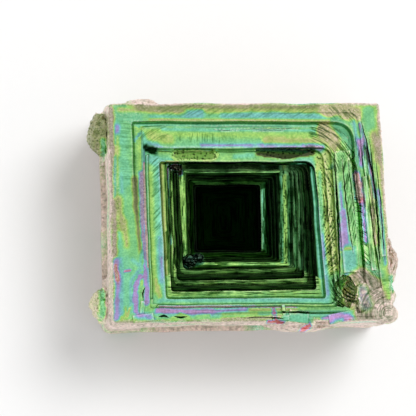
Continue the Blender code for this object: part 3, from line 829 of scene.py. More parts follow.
STAINS = (
    # the north lip
    Stain("dry edge", ((-16.0, 16.4), (4.0, 16.4), (16.0, 16.6)), 0.9, 0.87, 0.28, rough=0.5, light=0.85),
    Stain("yellow band", ((-14.0, 15.9), (14.0, 16.0)), 0.8, 0.78, 0.1),
    Stain("teal band", ((-3.0, 15.1), (4.0, 15.3), (14.6, 15.0)), 1.0, 0.46, 0.0),
    Stain("teal patch", ((-8.5, 15.2), (-6.5, 15.4)), 1.5, 0.45, 0.0),
    Stain("thin teal", ((-14.0, 14.95), (-9.0, 14.9)), 0.4, 0.48, 0.0),
    Stain("inner edge", ((-14.0, 14.5), (13.5, 14.55)), 0.35, 0.9, 0.3),
    Stain("olive end", ((12.5, 16.2), (17.0, 15.6)), 2.2, 0.85, 0.28, rough=0.3, light=1.25),
    Stain("sea green corner", ((-18.6, 15.8), (-16.2, 14.8)), 2.4, 0.57, 0.22),
    # the north treads
    # light below 1 on the north treads is painted shade: on the riser, in the ragged hole, the corner and the
    # splinters
    Stain("riser", ((-14.8, 14.15), (13.0, 14.2)), 0.35, 0.66, light=0.5),
    Stain("strip", ((-14.6, 13.75), (11.0, 13.8)), 0.5, 0.54, 0.25),
    Stain("pale strip", ((-12.0, 13.1), (11.0, 13.15)), 0.5, 0.5, 0.1),
    Stain("lime band", ((-13.4, 12.4), (10.0, 12.5)), 0.8, 0.72, 0.0),
    Stain("lime corner", ((-13.9, 12.2), (-11.0, 11.6)), 1.6, 0.76, 0.0),
    Stain("sea green band", ((-6.0, 11.2), (6.0, 11.25)), 0.4, 0.56, 0.0),
    Stain("violet edge", ((-6.2, 10.75), (2.0, 10.8), (9.4, 10.85)), 0.45, 0.29, 0.0, soft=0.2),
    Stain("cyan edge", ((-12.6, 10.3), (-3.9, 10.2)), 0.3, 0.43, 0.0, light=1.1, soft=0.15),
    Stain("pocket", ((-9.9, 9.4), (-4.4, 9.4)), 1.7, 0.73, 0.05, rough=1.0, pits=0.9, light=1.2, soft=0.2),
    Stain("ragged hole", ((2.6, 9.9), (6.4, 9.5), (10.6, 10.2)), (1.0, 1.3), 0.9, 0.1, rough=1.2, pits=1.0,
          light=0.3, soft=0.2),
    Stain("black corner", ((-14.6, 10.5), (-13.3, 9.9)), 1.1, 0.5, 0.0, rough=0.6, light=0.02, soft=0.3),
    Stain("blue splinters", ((11.4, 10.4), (12.6, 9.2), (13.2, 7.6)), (0.5, 0.9), 0.37, 0.0, rough=1.2,
          pits=1.0, light=0.5, soft=0.2),
    Stain("lilac corner", ((9.5, 10.9), (12.0, 10.6)), 1.0, 0.24, 0.25, rough=0.4),
    Stain("dry band", ((3.5, 11.7), (12.5, 11.6)), 1.0, 0.8, 0.14, rough=0.3),
    Stain("second tread, sea green", ((-1.0, 9.3), (1.5, 9.5)), 0.7, 0.54),
    # the north-east corner
    Stain("dry corner", ((12.5, 13.2), (15.0, 10.6)), 2.6, 0.85, 0.25, rough=0.3, light=1.15),
    Stain("grey-green corner", ((14.0, 14.6), (16.4, 11.0), (16.9, 8.0)), 1.5, 0.56, 0.2, rough=0.3,
          light=0.8),
    Stain("green corner", ((18.9, 15.9), (19.9, 12.0)), 1.8, 0.6, 0.05, rough=0.25),
    Stain("teal streak", ((16.7, 14.6), (17.2, 11.8)), 0.5, 0.44, 0.1),
    # the west lip
    Stain("worn edge", ((-19.9, 16.0), (-19.4, 0.0), (-19.1, -14.6)), 0.8, 0.96, 0.42, rough=0.5,
          light=0.9),
    Stain("violet", ((-19.0, 13.5), (-18.9, 11.0)), 0.8, 0.3, 0.15),
    Stain("lilac", ((-19.0, 8.6), (-19.0, 3.0)), 0.9, 0.22, 0.3, rough=0.5),
    Stain("teal", ((-18.3, 7.0), (-18.2, 3.6)), 0.5, 0.42, 0.1),
    Stain("sea green", ((-17.8, 8.0), (-17.3, 2.0)), 1.2, 0.56, 0.0),
    Stain("green", ((-17.0, 4.0), (-16.8, -4.0), (-16.3, -6.4)), 1.3, 0.62, 0.0),
    Stain("cyan streak", ((-16.4, 11.4), (-15.5, 12.5)), 0.4, 0.42, soft=0.15),
    Stain("olive wedge", ((-16.2, 5.4), (-15.9, 0.0), (-15.4, -5.4)), (1.2, 0.5), 0.86, 0.15, rough=0.5,
          pits=0.15, light=0.62),
    Stain("purple wedge", ((-15.3, 6.4), (-15.2, 0.0), (-14.8, -6.4)), (0.9, 0.5), 0.26, 0.34, rough=0.4,
          light=0.8, soft=0.5),
    Stain("rose edge", ((-14.9, 8.0), (-14.7, 0.0), (-14.3, -7.6)), 0.3, 0.06, 0.6, light=0.9, soft=0.2),
    Stain("teal drop", ((-16.6, -6.6), (-15.5, -7.4), (-15.2, -5.4)), 0.5, 0.47, 0.0),
    Stain("low violet edge", ((-14.8, -6.4), (-14.7, -9.4), (-14.5, -12.8)), (0.3, 1.0), 0.28, 0.0,
          soft=0.25),
    Stain("blue ring", ((-17.0, -14.2), (-16.9, -9.8), (-15.9, -8.4), (-15.2, -8.0)), 0.5, 0.42, 0.0),
    Stain("hook", ((-16.1, -14.2), (-16.2, -10.4), (-15.5, -9.0), (-14.9, -9.2)), 0.8, 0.27, 0.0,
          soft=0.25),
    Stain("hook core", ((-15.3, -13.6), (-15.1, -10.6)), 0.6, 0.64, 0.0, rough=0.6, soft=0.2),
    Stain("worn", ((-18.7, 2.6), (-18.2, -1.6)), 1.0, 0.84, 0.26, rough=0.5, pits=0.5, soft=1.0),
    Stain("brown specks", ((-17.9, -1.0), (-17.5, -4.4)), 0.8, 0.82, 0.26, rough=0.4, pits=0.4, soft=1.0),
    Stain("low teal", ((-18.3, -6.4), (-18.0, -9.0), (-18.2, -14.6)), 0.5, 0.44, 0.0),
    Stain("low sea green", ((-17.6, -6.4), (-17.5, -14.0)), 0.8, 0.56, 0.0),
    Stain("low violet", ((-19.1, -6.6), (-18.9, -10.4), (-19.0, -15.2)), 0.9, 0.28, 0.1, rough=0.4),
    Stain("low rose", ((-19.2, -7.6), (-18.8, -9.6)), 0.6, 0.05, 0.5, rough=0.4, soft=0.9),
    Stain("copper fleck", ((-17.8, -8.2), (-17.0, -8.1)), 0.35, 0.07, 0.3, soft=0.2),
    Stain("corner loop", ((-17.7, -13.8), (-17.4, -15.0), (-17.0, -13.8)), 0.35, 0.8, 0.2, soft=0.15),
    # the west treads
    Stain("sea green corner", ((-14.0, 9.0), (-13.0, 8.6)), 1.4, 0.5),
    Stain("lime", ((-13.8, 6.5), (-13.5, -4.0), (-13.1, -11.2)), 0.6, 0.73),
    Stain("olive edge", ((-12.9, -9.5), (-12.4, -11.9)), 0.8, 0.8),
    Stain("blue", ((-12.5, -3.0), (-12.2, -9.6)), (0.5, 0.9), 0.42),
    Stain("violet edge", ((-12.1, -6.0), (-11.9, -9.0)), 0.25, 0.31, soft=0.2),
    # the south rim
    Stain("south tread, sea green", ((-12.4, -12.6), (12.8, -12.5)), 0.7, 0.5),
    Stain("south tread, lime edge", ((-12.0, -12.95), (12.0, -12.95)), 0.3, 0.66),
    Stain("rose edge", ((-12.5, -13.5), (8.0, -13.5)), 0.35, 0.06, 0.5, soft=0.2),
    Stain("magenta", ((-12.8, -14.1), (-8.0, -14.3), (-4.5, -14.2)), 0.9, 0.24, 0.0),
    Stain("violet tail", ((-4.5, -14.2), (0.5, -13.9)), 0.5, 0.27, 0.0),
    Stain("violet corner", ((-15.8, -14.9), (-13.4, -15.1)), 0.8, 0.28, 0.0),
    Stain("lime hump", ((-10.6, -15.4), (-9.4, -14.7), (-8.2, -15.2)), 0.7, 0.7, 0.0, soft=0.2),
    Stain("second hump", ((-7.0, -15.1), (-5.2, -14.9)), 0.6, 0.64, 0.0, soft=0.2),
    Stain("small hump", ((-13.6, -14.9), (-12.6, -15.3)), 0.5, 0.62, 0.0, soft=0.2),
    Stain("dry", ((-3.0, -15.4), (3.0, -15.2), (8.0, -14.7)), 0.7, 0.84, 0.45, rough=0.6),
    Stain("lime band", ((-3.0, -14.7), (2.0, -14.6)), 0.5, 0.72, 0.0),
    Stain("olive ridge", ((1.0, -14.0), (8.0, -13.9)), 0.4, 0.82, 0.3, rough=0.5),
    Stain("copper splinter", ((4.6, -13.8), (4.75, -15.4)), 0.4, SALMON, 0.0, rough=0.2, soft=0.15),
    Stain("copper foot", ((3.6, -15.7), (6.2, -15.8)), 0.5, SALMON, 0.0, rough=0.6, soft=0.15, walls=True),
    Stain("copper stub", ((9.2, -16.9), (10.0, -16.4)), 0.9, SALMON, 0.0, rough=0.4, soft=0.15,
          walls=True),
    Stain("green facets", ((6.6, -15.3), (9.4, -15.2)), 1.8, 0.54, 0.0, rough=0.2),
    Stain("south-east rim, magenta", ((12.3, -15.6), (14.5, -14.9), (16.6, -15.4)), 1.3, 0.23, 0.0,
          rough=0.2, light=1.15),
    Stain("south-east rim, teal bar", ((12.9, -15.5), (15.0, -15.3)), 0.3, 0.45, 0.0, soft=0.15),
    Stain("south-east rim, rose", ((16.5, -15.6), (19.5, -15.4)), 1.2, 0.1, 0.5, rough=0.6),
    # the east
    # light above 1 on the east is painted light on the slope, the valley, the streaks and the cave's golden
    # side; the crack's rust is darkened as painted shade
    Stain("wedge, teal", ((11.5, 3.0), (12.3, -4.0), (12.9, -12.0)), (0.3, 0.9), 0.47, 0.0),
    Stain("wedge, violet", ((12.3, -2.0), (12.5, -6.0)), 0.4, 0.31, 0.0),
    Stain("wedge, violet foot", ((13.1, -9.0), (13.2, -11.4)), 0.5, 0.31, 0.0),
    Stain("slope", ((12.2, 8.8), (13.0, 0.0), (14.1, -9.8)), (2.4, 1.3), 0.76, 0.08, rough=0.6, pits=1.0,
          light=1.15),
    Stain("slope, pale inner edge", ((11.8, 7.0), (12.3, -2.0)), 0.5, 0.6, 0.2, rough=0.7, pits=0.2),
    Stain("bar", ((14.9, 9.4), (15.6, 2.0), (16.5, -4.0)), 1.9, 0.65, 0.0, rough=0.5, pits=0.25),
    Stain("bar, violet wedge", ((14.7, 5.2), (15.1, 0.0), (15.4, -4.4)), (0.2, 1.7), 0.28, 0.0, rough=0.2,
          pits=0.0, soft=0.2),
    Stain("bar, teal end", ((16.0, -5.3), (16.3, -8.5)), 2.2, 0.49, 0.0, rough=0.15, pits=0.0, soft=0.2),
    Stain("bar, gold rim", ((14.9, -4.6), (16.2, -4.7)), 0.25, 0.82, 0.3, soft=0.1),
    Stain("bar, lilac tip", ((15.2, -8.6), (17.2, -8.5)), 0.35, 0.22, 0.2, soft=0.2),
    Stain("valley, shade", ((16.9, 4.0), (17.5, -5.0)), 0.6, 0.66, 0.1, light=1.5),
    Stain("valley, grey", ((15.2, 11.4), (17.0, 7.0), (18.3, 0.0), (18.6, -6.4)), 0.9, 0.68, 0.2,
          rough=0.45, pits=0.3, light=1.35),
    Stain("rose patch", ((17.2, 6.4), (17.8, 2.6)), 1.0, 0.04, 0.6, rough=0.3, pits=0.2, light=1.2),
    Stain("lilac band", ((17.6, 11.6), (18.0, 8.0)), 0.8, 0.23, 0.2, rough=0.3, light=1.15),
    Stain("pink streak", ((18.0, 2.6), (18.6, -3.6)), 0.45, 0.2, 0.1, light=1.3),
    Stain("green streak", ((18.4, 9.0), (19.3, 1.0), (19.8, -4.0)), 0.6, 0.62, 0.05, rough=0.3, light=1.1),
    Stain("olive streak", ((19.2, 6.0), (20.0, -4.0)), 0.5, 0.88, 0.35, rough=0.4, pits=0.2, light=0.9),
    Stain("rust in the crack", ((17.6, 14.0), (18.8, 10.0), (20.0, 3.0)), 0.3, 0.1, 0.2, rough=0.4,
          pits=0.5, light=0.5),
    Stain("outer lime", ((20.2, 5.0), (20.7, -4.0)), 0.5, 0.68, 0.0),
    Stain("outer violet", ((20.4, 4.0), (21.1, -1.0), (21.5, -7.0)), 0.5, 0.26, 0.1),
    Stain("dry patch", ((19.9, 12.4), (20.6, 9.0)), 1.2, 0.92, 0.35, rough=0.4, soft=1.4),
    Stain("outer dry", ((20.8, 15.0), (21.6, 2.0), (22.3, -8.0)), 1.0, 0.93, 0.45, rough=0.5, soft=1.2),
    # dust on the lips, and the lumps
    Stain("west lip, brown dust", ((-18.9, 12.0), (-18.9, 2.0)), 0.5, 0.84, 0.25, rough=0.4, soft=1.0),
    Stain("north lip, brown dust", ((-18.6, 16.0), (-9.0, 15.9)), 0.6, 0.86, 0.28, rough=0.4, soft=1.0),
    Stain("crust", ((18.4, -9.6), (19.4, -12.4), (18.8, -14.6)), 4.4, 0.94, 0.5, rough=1.0, pits=0.1,
          light=0.95, soft=1.2),
    Stain("crust, lilac", ((17.8, -11.0), (18.6, -13.2)), 1.6, 0.24, 0.62, rough=0.6, light=0.9, soft=1.6),
    Stain("crust, green", ((18.8, -7.2), (20.6, -8.6)), 1.2, 0.58, 0.3, rough=0.9, soft=0.8),
    Stain("ball", ((21.4, -14.2), (21.5, -14.1)), 3.4, 0.95, 0.9, rough=1.1, light=1.1, walls=True),
    Stain("cave", ((14.6, -9.6), (15.0, -12.2)), 3.0, 0.62, 0.0, rough=0.7, pits=0.2, light=0.9, soft=0.8),
    Stain("cave, golden side", ((16.6, -9.2), (16.3, -12.6)), 1.9, 0.87, 0.25, rough=0.9, pits=0.3,
          light=1.3, soft=0.8),
    Stain("east bulge", ((22.6, -3.0), (23.2, -7.0)), 1.8, 0.92, 0.45, rough=0.6, soft=0.8, walls=True),
    Stain("east bulge, green", ((22.6, -9.0), (22.8, -10.6)), 1.2, 0.56, 0.2, rough=0.6, soft=0.6,
          walls=True),
    Stain("north-west knob", ((-21.8, 14.6), (-21.9, 10.6)), 3.0, 0.84, 0.3, rough=1.2, pits=0.4,
          light=0.95, soft=0.6, walls=True),
    Stain("north-west knob, green", ((-21.0, 11.6), (-20.8, 9.6)), 0.8, 0.58, 0.2, walls=True),
    Stain("south-west knob", ((-22.0, -11.0), (-22.0, -15.4)), 2.4, 0.78, 0.6, rough=0.9, soft=0.6,
          walls=True),
    Stain("south-west knob, green facet", ((-21.0, -9.6), (-20.9, -14.6)), (0.6, 1.2), 0.61, 0.0,
          rough=0.2, pits=0.0, light=1.3, walls=True),
)
WELL_STAINS = (  # these stand for what each ledge down the well reflects
    Stain("west edge, rose", ((-11.1, 8.4), (-10.5, -4.0)), 0.12, 0.08, light=0.8, soft=0.2),
    Stain("west ridge", ((-10.6, 8.2), (-10.0, -9.0)), 0.22, 0.72, light=1.0, soft=0.2),
    Stain("nodules", ((-7.6, -6.3), (-5.8, -5.5)), 1.8, 0.42, 0.1, rough=0.8, pits=0.5, light=0.28),
    Stain("copper crumbs", ((-10.2, 7.9), (-8.8, 7.5)), 0.9, 0.07, 0.1, rough=0.8, pits=0.5, light=0.28),
    Stain("east shelf, dark", ((5.0, 6.0), (5.2, -4.8)), 0.9, light=0.02, soft=0.2),
    Stain("east shelf", ((4.35, 5.2), (4.45, -3.8)), 0.4, 0.54, light=1.0, soft=0.2),
    Stain("east gallery, lime", ((7.5, 7.0), (7.7, -6.2)), 0.9, 0.72, pits=0.9, light=0.95, soft=0.2),
    Stain("east gallery, teal", ((6.75, 7.0), (6.95, -6.2)), 0.25, 0.52, pits=0.0, light=0.7, soft=0.2),
    Stain("east gallery, shade", ((8.0, 7.0), (8.1, -6.2)), 0.5, 0.6, pits=0.0, light=0.35, soft=0.2),
    Stain("east flight, green", ((8.9, 7.0), (9.1, -7.0)), 0.35, 0.6, pits=0.6, light=0.5, soft=0.2),
)
print(len(STAINS), "stains on the treads and walls, and", len(WELL_STAINS), "in the well")


def nearest_on(line, flat):
    """How far each point lies from a line of several straight pieces, and how far along it, from 0 to 1."""
    nearest = np.full(len(flat), np.inf)
    along = np.zeros(len(flat))
    pieces = list(zip(np.array(line)[:-1], np.array(line)[1:]))
    for i, (start, end) in enumerate(pieces):
        run = end - start
        share = np.clip((flat - start) @ run / (run @ run), 0, 1)
        distance = np.linalg.norm(flat - start - share[:, None] * run, axis=1)
        along = np.where(distance < nearest, (i + share) / len(pieces), along)
        nearest = np.minimum(nearest, distance)
    return nearest, along


def stroke(line, width, flat, soft, stray):
    """How much each point belongs to a soft-edged stroke, which may widen from its start to its end."""
    first, last = width if isinstance(width, tuple) else (width, width)
    distance, along = nearest_on(line, flat)
    half = (first + (last - first) * along) / 2
    return smooth(soft / 2, -soft / 2, distance + stray - half)


# %% [markdown]
# ## Growth lines
# In some patches the metal shows fine dark lines, where layer after layer stopped growing. They run
# straight or curve round a point, like a fingerprint. An image would need one pattern for each patch.
# Here a line is a place with a certain distance from the patch's own centre, so one noise draws them all.

# %% The growth lines
class Striae(NamedTuple):
    """A patch of fine dark growth lines: a stroke, how strong they are, and the point they curve around."""

    name: str
    line: tuple
    width: float
    amount: float
    around: tuple


FAR = 400.0  # curving around a point this far away, lines are straight
STRIAE = (
    Striae("ticks on the north tread", ((-9.0, 11.9), (-3.5, 11.9)), 1.5, 0.35, (FAR, 0.0)),
    Striae("north-west corner", ((-15.0, 12.0), (-12.0, 12.6)), 2.0, 0.35, (-9.0, 6.0)),
    Striae("hatch on the west tread", ((-13.0, 4.4), (-12.7, -3.0)), 1.2, 0.45, (FAR, -FAR)),
    Striae("west tread, top", ((-13.2, 8.4), (-13.0, 5.4)), 1.4, 0.5, (-FAR, FAR)),
    Striae("north-east fingerprint", ((11.6, 12.6), (14.6, 11.4), (15.4, 8.0)), 3.4, 0.8, (8.6, 6.0)),
    Striae("north-east lip", ((13.6, 15.8), (16.6, 15.4)), 1.8, 0.5, (FAR, FAR)),
    Striae("slope", ((12.6, 8.0), (13.6, -8.0)), 1.8, 0.7, (5.0, 2.0)),
    Striae("bar", ((15.4, 8.0), (16.8, -3.0)), 1.2, 0.8, (FAR, -0.2 * FAR)),
    Striae("valley", ((17.4, 3.0), (18.8, -6.4)), 1.4, 0.8, (13.0, -12.0)),
    Striae("east ridges", ((18.4, 10.0), (20.4, -6.0)), 2.0, 0.8, (FAR, 0.12 * FAR)),
    Striae("crust around the ball", ((19.0, -13.4), (20.4, -10.6), (21.4, -14.2)), 4.4, 0.4, (21.9, -14.4)),
    Striae("crust above the cave", ((17.0, -8.2), (19.6, -9.2)), 2.4, 0.45, (15.2, -11.2)),
    Striae("cave", ((15.0, -10.0), (15.4, -12.0)), 3.4, 0.9, (19.0, -7.5)),
    Striae("west lip", ((-17.6, 14.0), (-17.0, 6.0)), 2.4, 0.2, (0.0, FAR)),
    Striae("north lip", ((-12.0, 15.8), (10.0, 15.8)), 1.6, 0.25, (-0.6 * FAR, FAR)),
)
print(len(STRIAE), "patches of growth lines")

# %% [markdown]
# ## The light down the well
# Light that falls into a deep pit is thrown from face to face and gets greener and weaker each time, and
# only a few ledges happen to send it up. Tracing that truly would need far more samples than a lesson
# should take, and it would hang on what stands in the room. So each ledge is given its own brightness on
# each side, and the drops between are nearly black.

# %% The ledges' brightness
GALLERY_GLEAM = ((0.0, 0.55), (0.10, 0.80), (0.45, 1.0), (0.0, 0.74))  # from where to where it is bright
LEDGE_LIGHTS = (  # brightness of each ledge down the well, to the north, east, south and west
    (0.03, 0.03, 0.80, 0.25),
    (0.02, 0.04, 0.06, 0.14),
    (0.02, 0.10, 0.45, 0.08),
    (0.02, 0.32, 0.04, 0.06),
    (0.50, 0.40, 0.30, 0.06),
    (1.00, 0.90, 1.00, 1.00),
    (0.04, 0.02, 0.04, 0.10),
    (0.05, 0.03, 0.05, 0.08),
    (0.10, 0.10, 0.04, 0.02),
    (0.01, 0.01, 0.01, 0.01),
    (0.004, 0.004, 0.004, 0.004),
)
STEEP_LIGHT = 0.06  # of its ledge's brightness, on the drop below
SHADED_LIGHT = 0.05  # of the gallery's brightness, outside its bright part
ON_LEVEL = 0.3  # how near a vertex's depth is to its ledge's


def well_light(here):
    """How bright each point in the well is: a few ledges catch the light, and the drops don't."""
    ledges = [start + (end - start) * k / n for _, _, start, end, n in FLIGHTS for k in range(n)]
    level = np.argmin(abs(here.depth[:, None] - np.array(ledges + [PIT_DEPTH])), axis=1)
    light = np.array(LEDGE_LIGHTS)[level, here.side]
    past = inside(GALLERY, here.flat)[np.arange(len(light)), here.side]
    before = -inside(GALLERY_EDGE, here.flat)[np.arange(len(light)), here.side]
    share = past / np.maximum(past + before, TINY)
    first, last = np.array(GALLERY_GLEAM)[here.side].T
    on_gallery = abs(here.depth - GALLERY_DEPTH) < ON_LEVEL
    gleam = smooth(first - 0.15, first + 0.1, share) * smooth(last + 0.15, last - 0.1, share)
    light = np.where(on_gallery, light * (SHADED_LIGHT + (1 - SHADED_LIGHT) * gleam), light)
    broken = 1 + 0.5 * noise_at(here.points, 0.35, 5.0) + 0.4 * noise_at(here.points, 1.3, 9.0)
    return light * broken * (1 - (1 - STEEP_LIGHT) * smooth(0.15, 0.6, here.steep))


print(len(LEDGE_LIGHTS), "levels of the well have a brightness on each side")

# %% [markdown]
# ## Everything on every vertex
# Ten numbers are stored for each vertex: the film, how bare, rough and pitted it is, its painted light and
# shade, how sharp an edge it lies on, which gives wear and a painted highlight, how hollow it is, which
# gives painted shade, how strong its growth lines are, and two distances to draw lines along.
# The guessed outer wall gets horizontal bands of film between worn, dull metal.

# %% Work the values out and store them
WALL_REACH = ((0.05, 0.12), (0.35, 0.7), (WELL_DEPTH + 0.3, 3.9))  # below a depth, how near the rim's outline
WELL_MARGIN = 0.1
WALL_FILM = 0.80
# the edge share gives wear and a painted highlight
WALL_EDGE = 0.3  # how much of an edge's brightness is left on the outer wall
WALL_ROUGH = 0.4
TREAD_ROUGH = 0.10
HOLLOW_GAIN = 2.4  # turns hollowness into a share from 0 to 1
WELL_STRIAE = 0.9
GALLERY_PITS = 0.9
LINES_ACROSS = 15.0  # a usual distance from the rim to the floor of the well, in millimetres
STAIN_STRAY = 0.32  # how far a stain's border wanders, in millimetres
LUMPS_END = 16.5  # the depth below which no stain of the treads and walls reaches
LUMPS_FADE = 3.0
BRIGHTEST = 1.5  # a share ends at 1, but roughness and light may go this far


def parts_of(here, edge):
    """Which vertices are on the outer wall, and which in the well."""
    wall = np.zeros(len(edge), dtype=bool)
    for depth, reach in WALL_REACH:
        wall |= (here.depth > depth) & (edge < reach)
    well = ~wall & (inside(WELL_TOP, here.flat).min(axis=1) > -WELL_MARGIN)
    return wall, well


def stain(values, here, wall, well, patch, grit):
    """Lays every stain over the values, in order."""
    above = ~well * smooth(LUMPS_END, LUMPS_END - LUMPS_FADE, here.depth)
    for stains, place in ((STAINS, above), (WELL_STAINS, well)):
        for each in stains:
            stray = STAIN_STRAY * min(1.0, float(np.max(each.width))) * (0.6 * patch + 0.4 * grit)
            weight = stroke(each.line, each.width, here.flat, each.soft, stray) * place * (each.walls | ~wall)
            for key, value in values.items():
                wanted = getattr(each, key)
                if wanted is not None:
                    values[key] = value + (wanted - value) * weight


def skin_values(here):
    """The attributes of the crystal's skin at each vertex."""
    broad = noise_at(here.points, 0.3, 3.0)
    patch = noise_at(here.points, 0.9, 7.0)
    grit = noise_at(here.points, 2.6, 11.0)
    band = noise_at(here.points * (0.3, 0.3, 1.0), 0.5, 5.0)
    edge = here.rim.min(axis=1)
    wall, well = parts_of(here, edge)
    film = tread_film(here) + 0.03 * broad + 0.02 * patch
    bare = 0.6 * smooth(0.7, 0.15, edge + 0.35 * patch + 0.2 * grit)
    bare = np.where(wall, np.clip(0.95 - 0.9 * np.maximum(band, 0), 0.45, 1), bare)
    # painted light and shade: steep faces are made darker, as if they mirrored a dark room, and the outer
    # wall lighter
    light = np.where(wall, 1.4 - 0.1 * here.steep, 1 - 0.55 * here.steep)
    values = {
        "film": np.where(wall, WALL_FILM - 0.4 * band + 0.1 * patch, film),
        "bare": np.where(well, 0.0, bare),
        "rough": np.where(wall, WALL_ROUGH, TREAD_ROUGH) + 0.4 * smooth(0.9, 0.3, edge) * (here.depth < 0.5),
        "pits": np.zeros_like(film),
        "light": np.where(well, well_light(here), light),
    }
    stain(values, here, wall, well, patch, grit)
    lines = LINES_ACROSS * here.inward
    striae = np.where(well, WELL_STRIAE, 0.0)
    for each in STRIAE:
        weight = stroke(each.line, each.width, here.flat, 0.6, 0.4 * patch) * ~wall * ~well
        radius = np.linalg.norm(here.flat - np.array(each.around), axis=1)
        lines = np.where(weight > 0.02, radius, lines)
        striae = np.where(weight > 0.02, each.amount * weight, striae)
    on_gallery = (abs(here.depth - GALLERY_DEPTH) < 0.4) & (here.side == FACES.index("east")) & ~wall
    values["pits"] = np.maximum(values["pits"], GALLERY_PITS * on_gallery)
    # edge gives wear on convex edges and a painted highlight along them; hollowness gives painted shade in
    # corners and creases
    sharp = -here.hollow * HOLLOW_GAIN
    values["edge"] = sharp * smooth(0.1, 0.8, edge) * np.where(wall, WALL_EDGE, 1.0)
    values["crevice"] = here.hollow * HOLLOW_GAIN
    values["striae"] = striae
    for key, value in values.items():
        values[key] = np.clip(value, 0, BRIGHTEST if key in ("rough", "light") else 1)
    return values | {"across": edge, "lines": lines}


def store(mesh, values):
    """Writes each list of numbers onto the vertices, under its name."""
    for name, numbers in values.items():
        attribute = mesh.attributes.new(name, "FLOAT", "POINT")
        attribute.data.foreach_set("value", numbers.astype(np.float32))


values = skin_values(survey)
store(crystal.data, values)
print("stored on every vertex:", *values)

# %% [markdown]
# ## Node trees written as sums
# Geometry Nodes and materials are both trees of nodes. A small class wraps a socket, so that a sum in
# Python adds the Math nodes for it, and one method makes every other kind of node.

# %% Two helpers for node trees
class Signal:
    """The output of a node, which can take part in a Python sum."""

    def __init__(self, tree, socket):
        self.tree = tree
        self.socket = socket

    def sum(self, operation, first, second=0.0):
        return self.tree.node("ShaderNodeMath", {"operation": operation}, {0: first, 1: second})

    def __add__(self, other):
        return self.sum("ADD", self, other)

    def __sub__(self, other):
        return self.sum("SUBTRACT", self, other)

    def __rsub__(self, other):
        return self.sum("SUBTRACT", other, self)

    def __mul__(self, other):
        return self.sum("MULTIPLY", self, other)

    def __lt__(self, other):
        return self.sum("LESS_THAN", self, other)

    __radd__ = __add__
    __rmul__ = __mul__

    def clamped(self):
        return self.tree.node("ShaderNodeClamp", {}, {0: self})

    def swing(self, amount):
        """A noise from 0 to 1, made to swing evenly about 0."""
        return (self - 0.5) * amount

    def also(self, name):
        """Another output of the same node."""
        return Signal(self.tree, self.socket.node.outputs[name])


class Tree:
    """A node tree, and the one method that adds a node to it."""

    def __init__(self, tree):
        self.tree = tree
        tree.nodes.clear()

    def node(self, kind, settings=None, inputs=None, output=0):
        """Adds a node, sets it, fills or links its inputs and returns one of its outputs."""
        made = self.tree.nodes.new(kind)
        for name, value in (settings or {}).items():
            if name == "stops":
                self.fill_ramp(made.color_ramp, value)
            else:
                setattr(made, name, value)
        for key, value in (inputs or {}).items():
            if isinstance(value, Signal):
                self.tree.links.new(value.socket, made.inputs[key])
            else:
                made.inputs[key].default_value = value
        return Signal(self, made.outputs[output]) if made.outputs else made

    def fill_ramp(self, ramp, stops):
        """Gives a colour ramp its places and colours."""
        while len(ramp.elements) < len(stops):
            ramp.elements.new(1.0)
        for element, (place, colour) in zip(ramp.elements, stops):
            element.position = place
            element.color = (*colour, 1.0)

    def value(self, name):
        """A named attribute of the surface."""
        return self.node("ShaderNodeAttribute", {"attribute_name": name}, {}, "Fac")


def linear(red, green, blue):
    """A colour given from 0 to 255, as it looks on a screen, in the light's own scale."""
    return tuple(((c / 255 + 0.055) / 1.055) ** 2.4 for c in (red, green, blue))


print("helpers for node trees are ready:", [name for name in vars(Tree) if not name.startswith("_")])


# %% [markdown]
# ## The finish of the metal
# Under the film the metal is a mirror, so its colour is what it reflects times the film's colour. On the
# outer edges the film is broken and dull beige metal shows. Fine growth lines run along every ledge, and
# the sunny slope on the east is full of tiny black pits. On top, the colour is multiplied by painted light
# and shade: the brightness stored as light, painted shade in hollows and a painted highlight on sharp
# edges. Images could hold all this, but a procedural material that reads the attributes above has no
# seams. The film's colours are one colour ramp.

# %% The oxide skin
FILM_COLOURS = (
    (BARE, linear(192, 182, 166)),
    (ROSE, linear(188, 166, 166)),
    (SALMON, linear(205, 108, 98)),
    (MAGENTA, linear(196, 152, 194)),
    (VIOLET, linear(168, 150, 202)),
    (BLUE, linear(134, 166, 200)),
    (TEAL, linear(122, 190, 186)),
    (SEA_GREEN, linear(126, 208, 170)),
    (GREEN, linear(134, 206, 138)),
    (LIME, linear(164, 214, 112)),
    (0.78, linear(184, 202, 122)),
    (OLIVE, linear(166, 170, 118)),
    (DRY, linear(172, 156, 136)),
    (1.0, linear(178, 164, 156)),
)
DULL_COLOURS = (
    (0.30, linear(160, 148, 134)),
    (0.42, linear(192, 180, 164)),
    (0.52, linear(212, 200, 182)),
    (0.62, linear(208, 200, 180)),
    (0.74, linear(226, 216, 204)),
)
LINE_DRIFT = 0.35  # how quickly a growth line changes along its length
FURROW_SHARE = 0.46  # of the growth noise is a dark furrow
SPOTS = 2.3  # pits to a millimetre
# the painted light and shade is tinted: where it is dark it turns greener
RED_POWER, BLUE_POWER = 1.3, 1.35  # what is dark turns greener, because red and blue fade sooner
FILM_ROUGHNESS, WORN_ROUGHNESS = 0.17, 0.32
BUMP_HEIGHT = 0.12  # millimetres


def noise_of(tree, place, scale, detail=3.0):
    """Smooth noise from 0 to 1, with a number of waves to a millimetre."""
    return tree.node("ShaderNodeTexNoise", {}, {"Vector": place, "Scale": scale, "Detail": detail})


def mixed(tree, share, first, second, blend="MIX"):
    """One colour blended with another."""
    settings = {"data_type": "RGBA", "blend_type": blend}
    return tree.node("ShaderNodeMix", settings, {"Factor": share, 6: first, 7: second}, 2)


def lined(tree, place, lines, fineness):
    """A noise drawn out along the ledges: it changes quickly across them and slowly along them."""
    apart = tree.node("ShaderNodeSeparateXYZ", {}, {0: place})
    east, north = apart * LINE_DRIFT, apart.also(1) * LINE_DRIFT
    across = tree.value(lines) * fineness
    return noise_of(tree, tree.node("ShaderNodeCombineXYZ", {}, {0: across, 1: east, 2: north}), 1.0, 2.0)


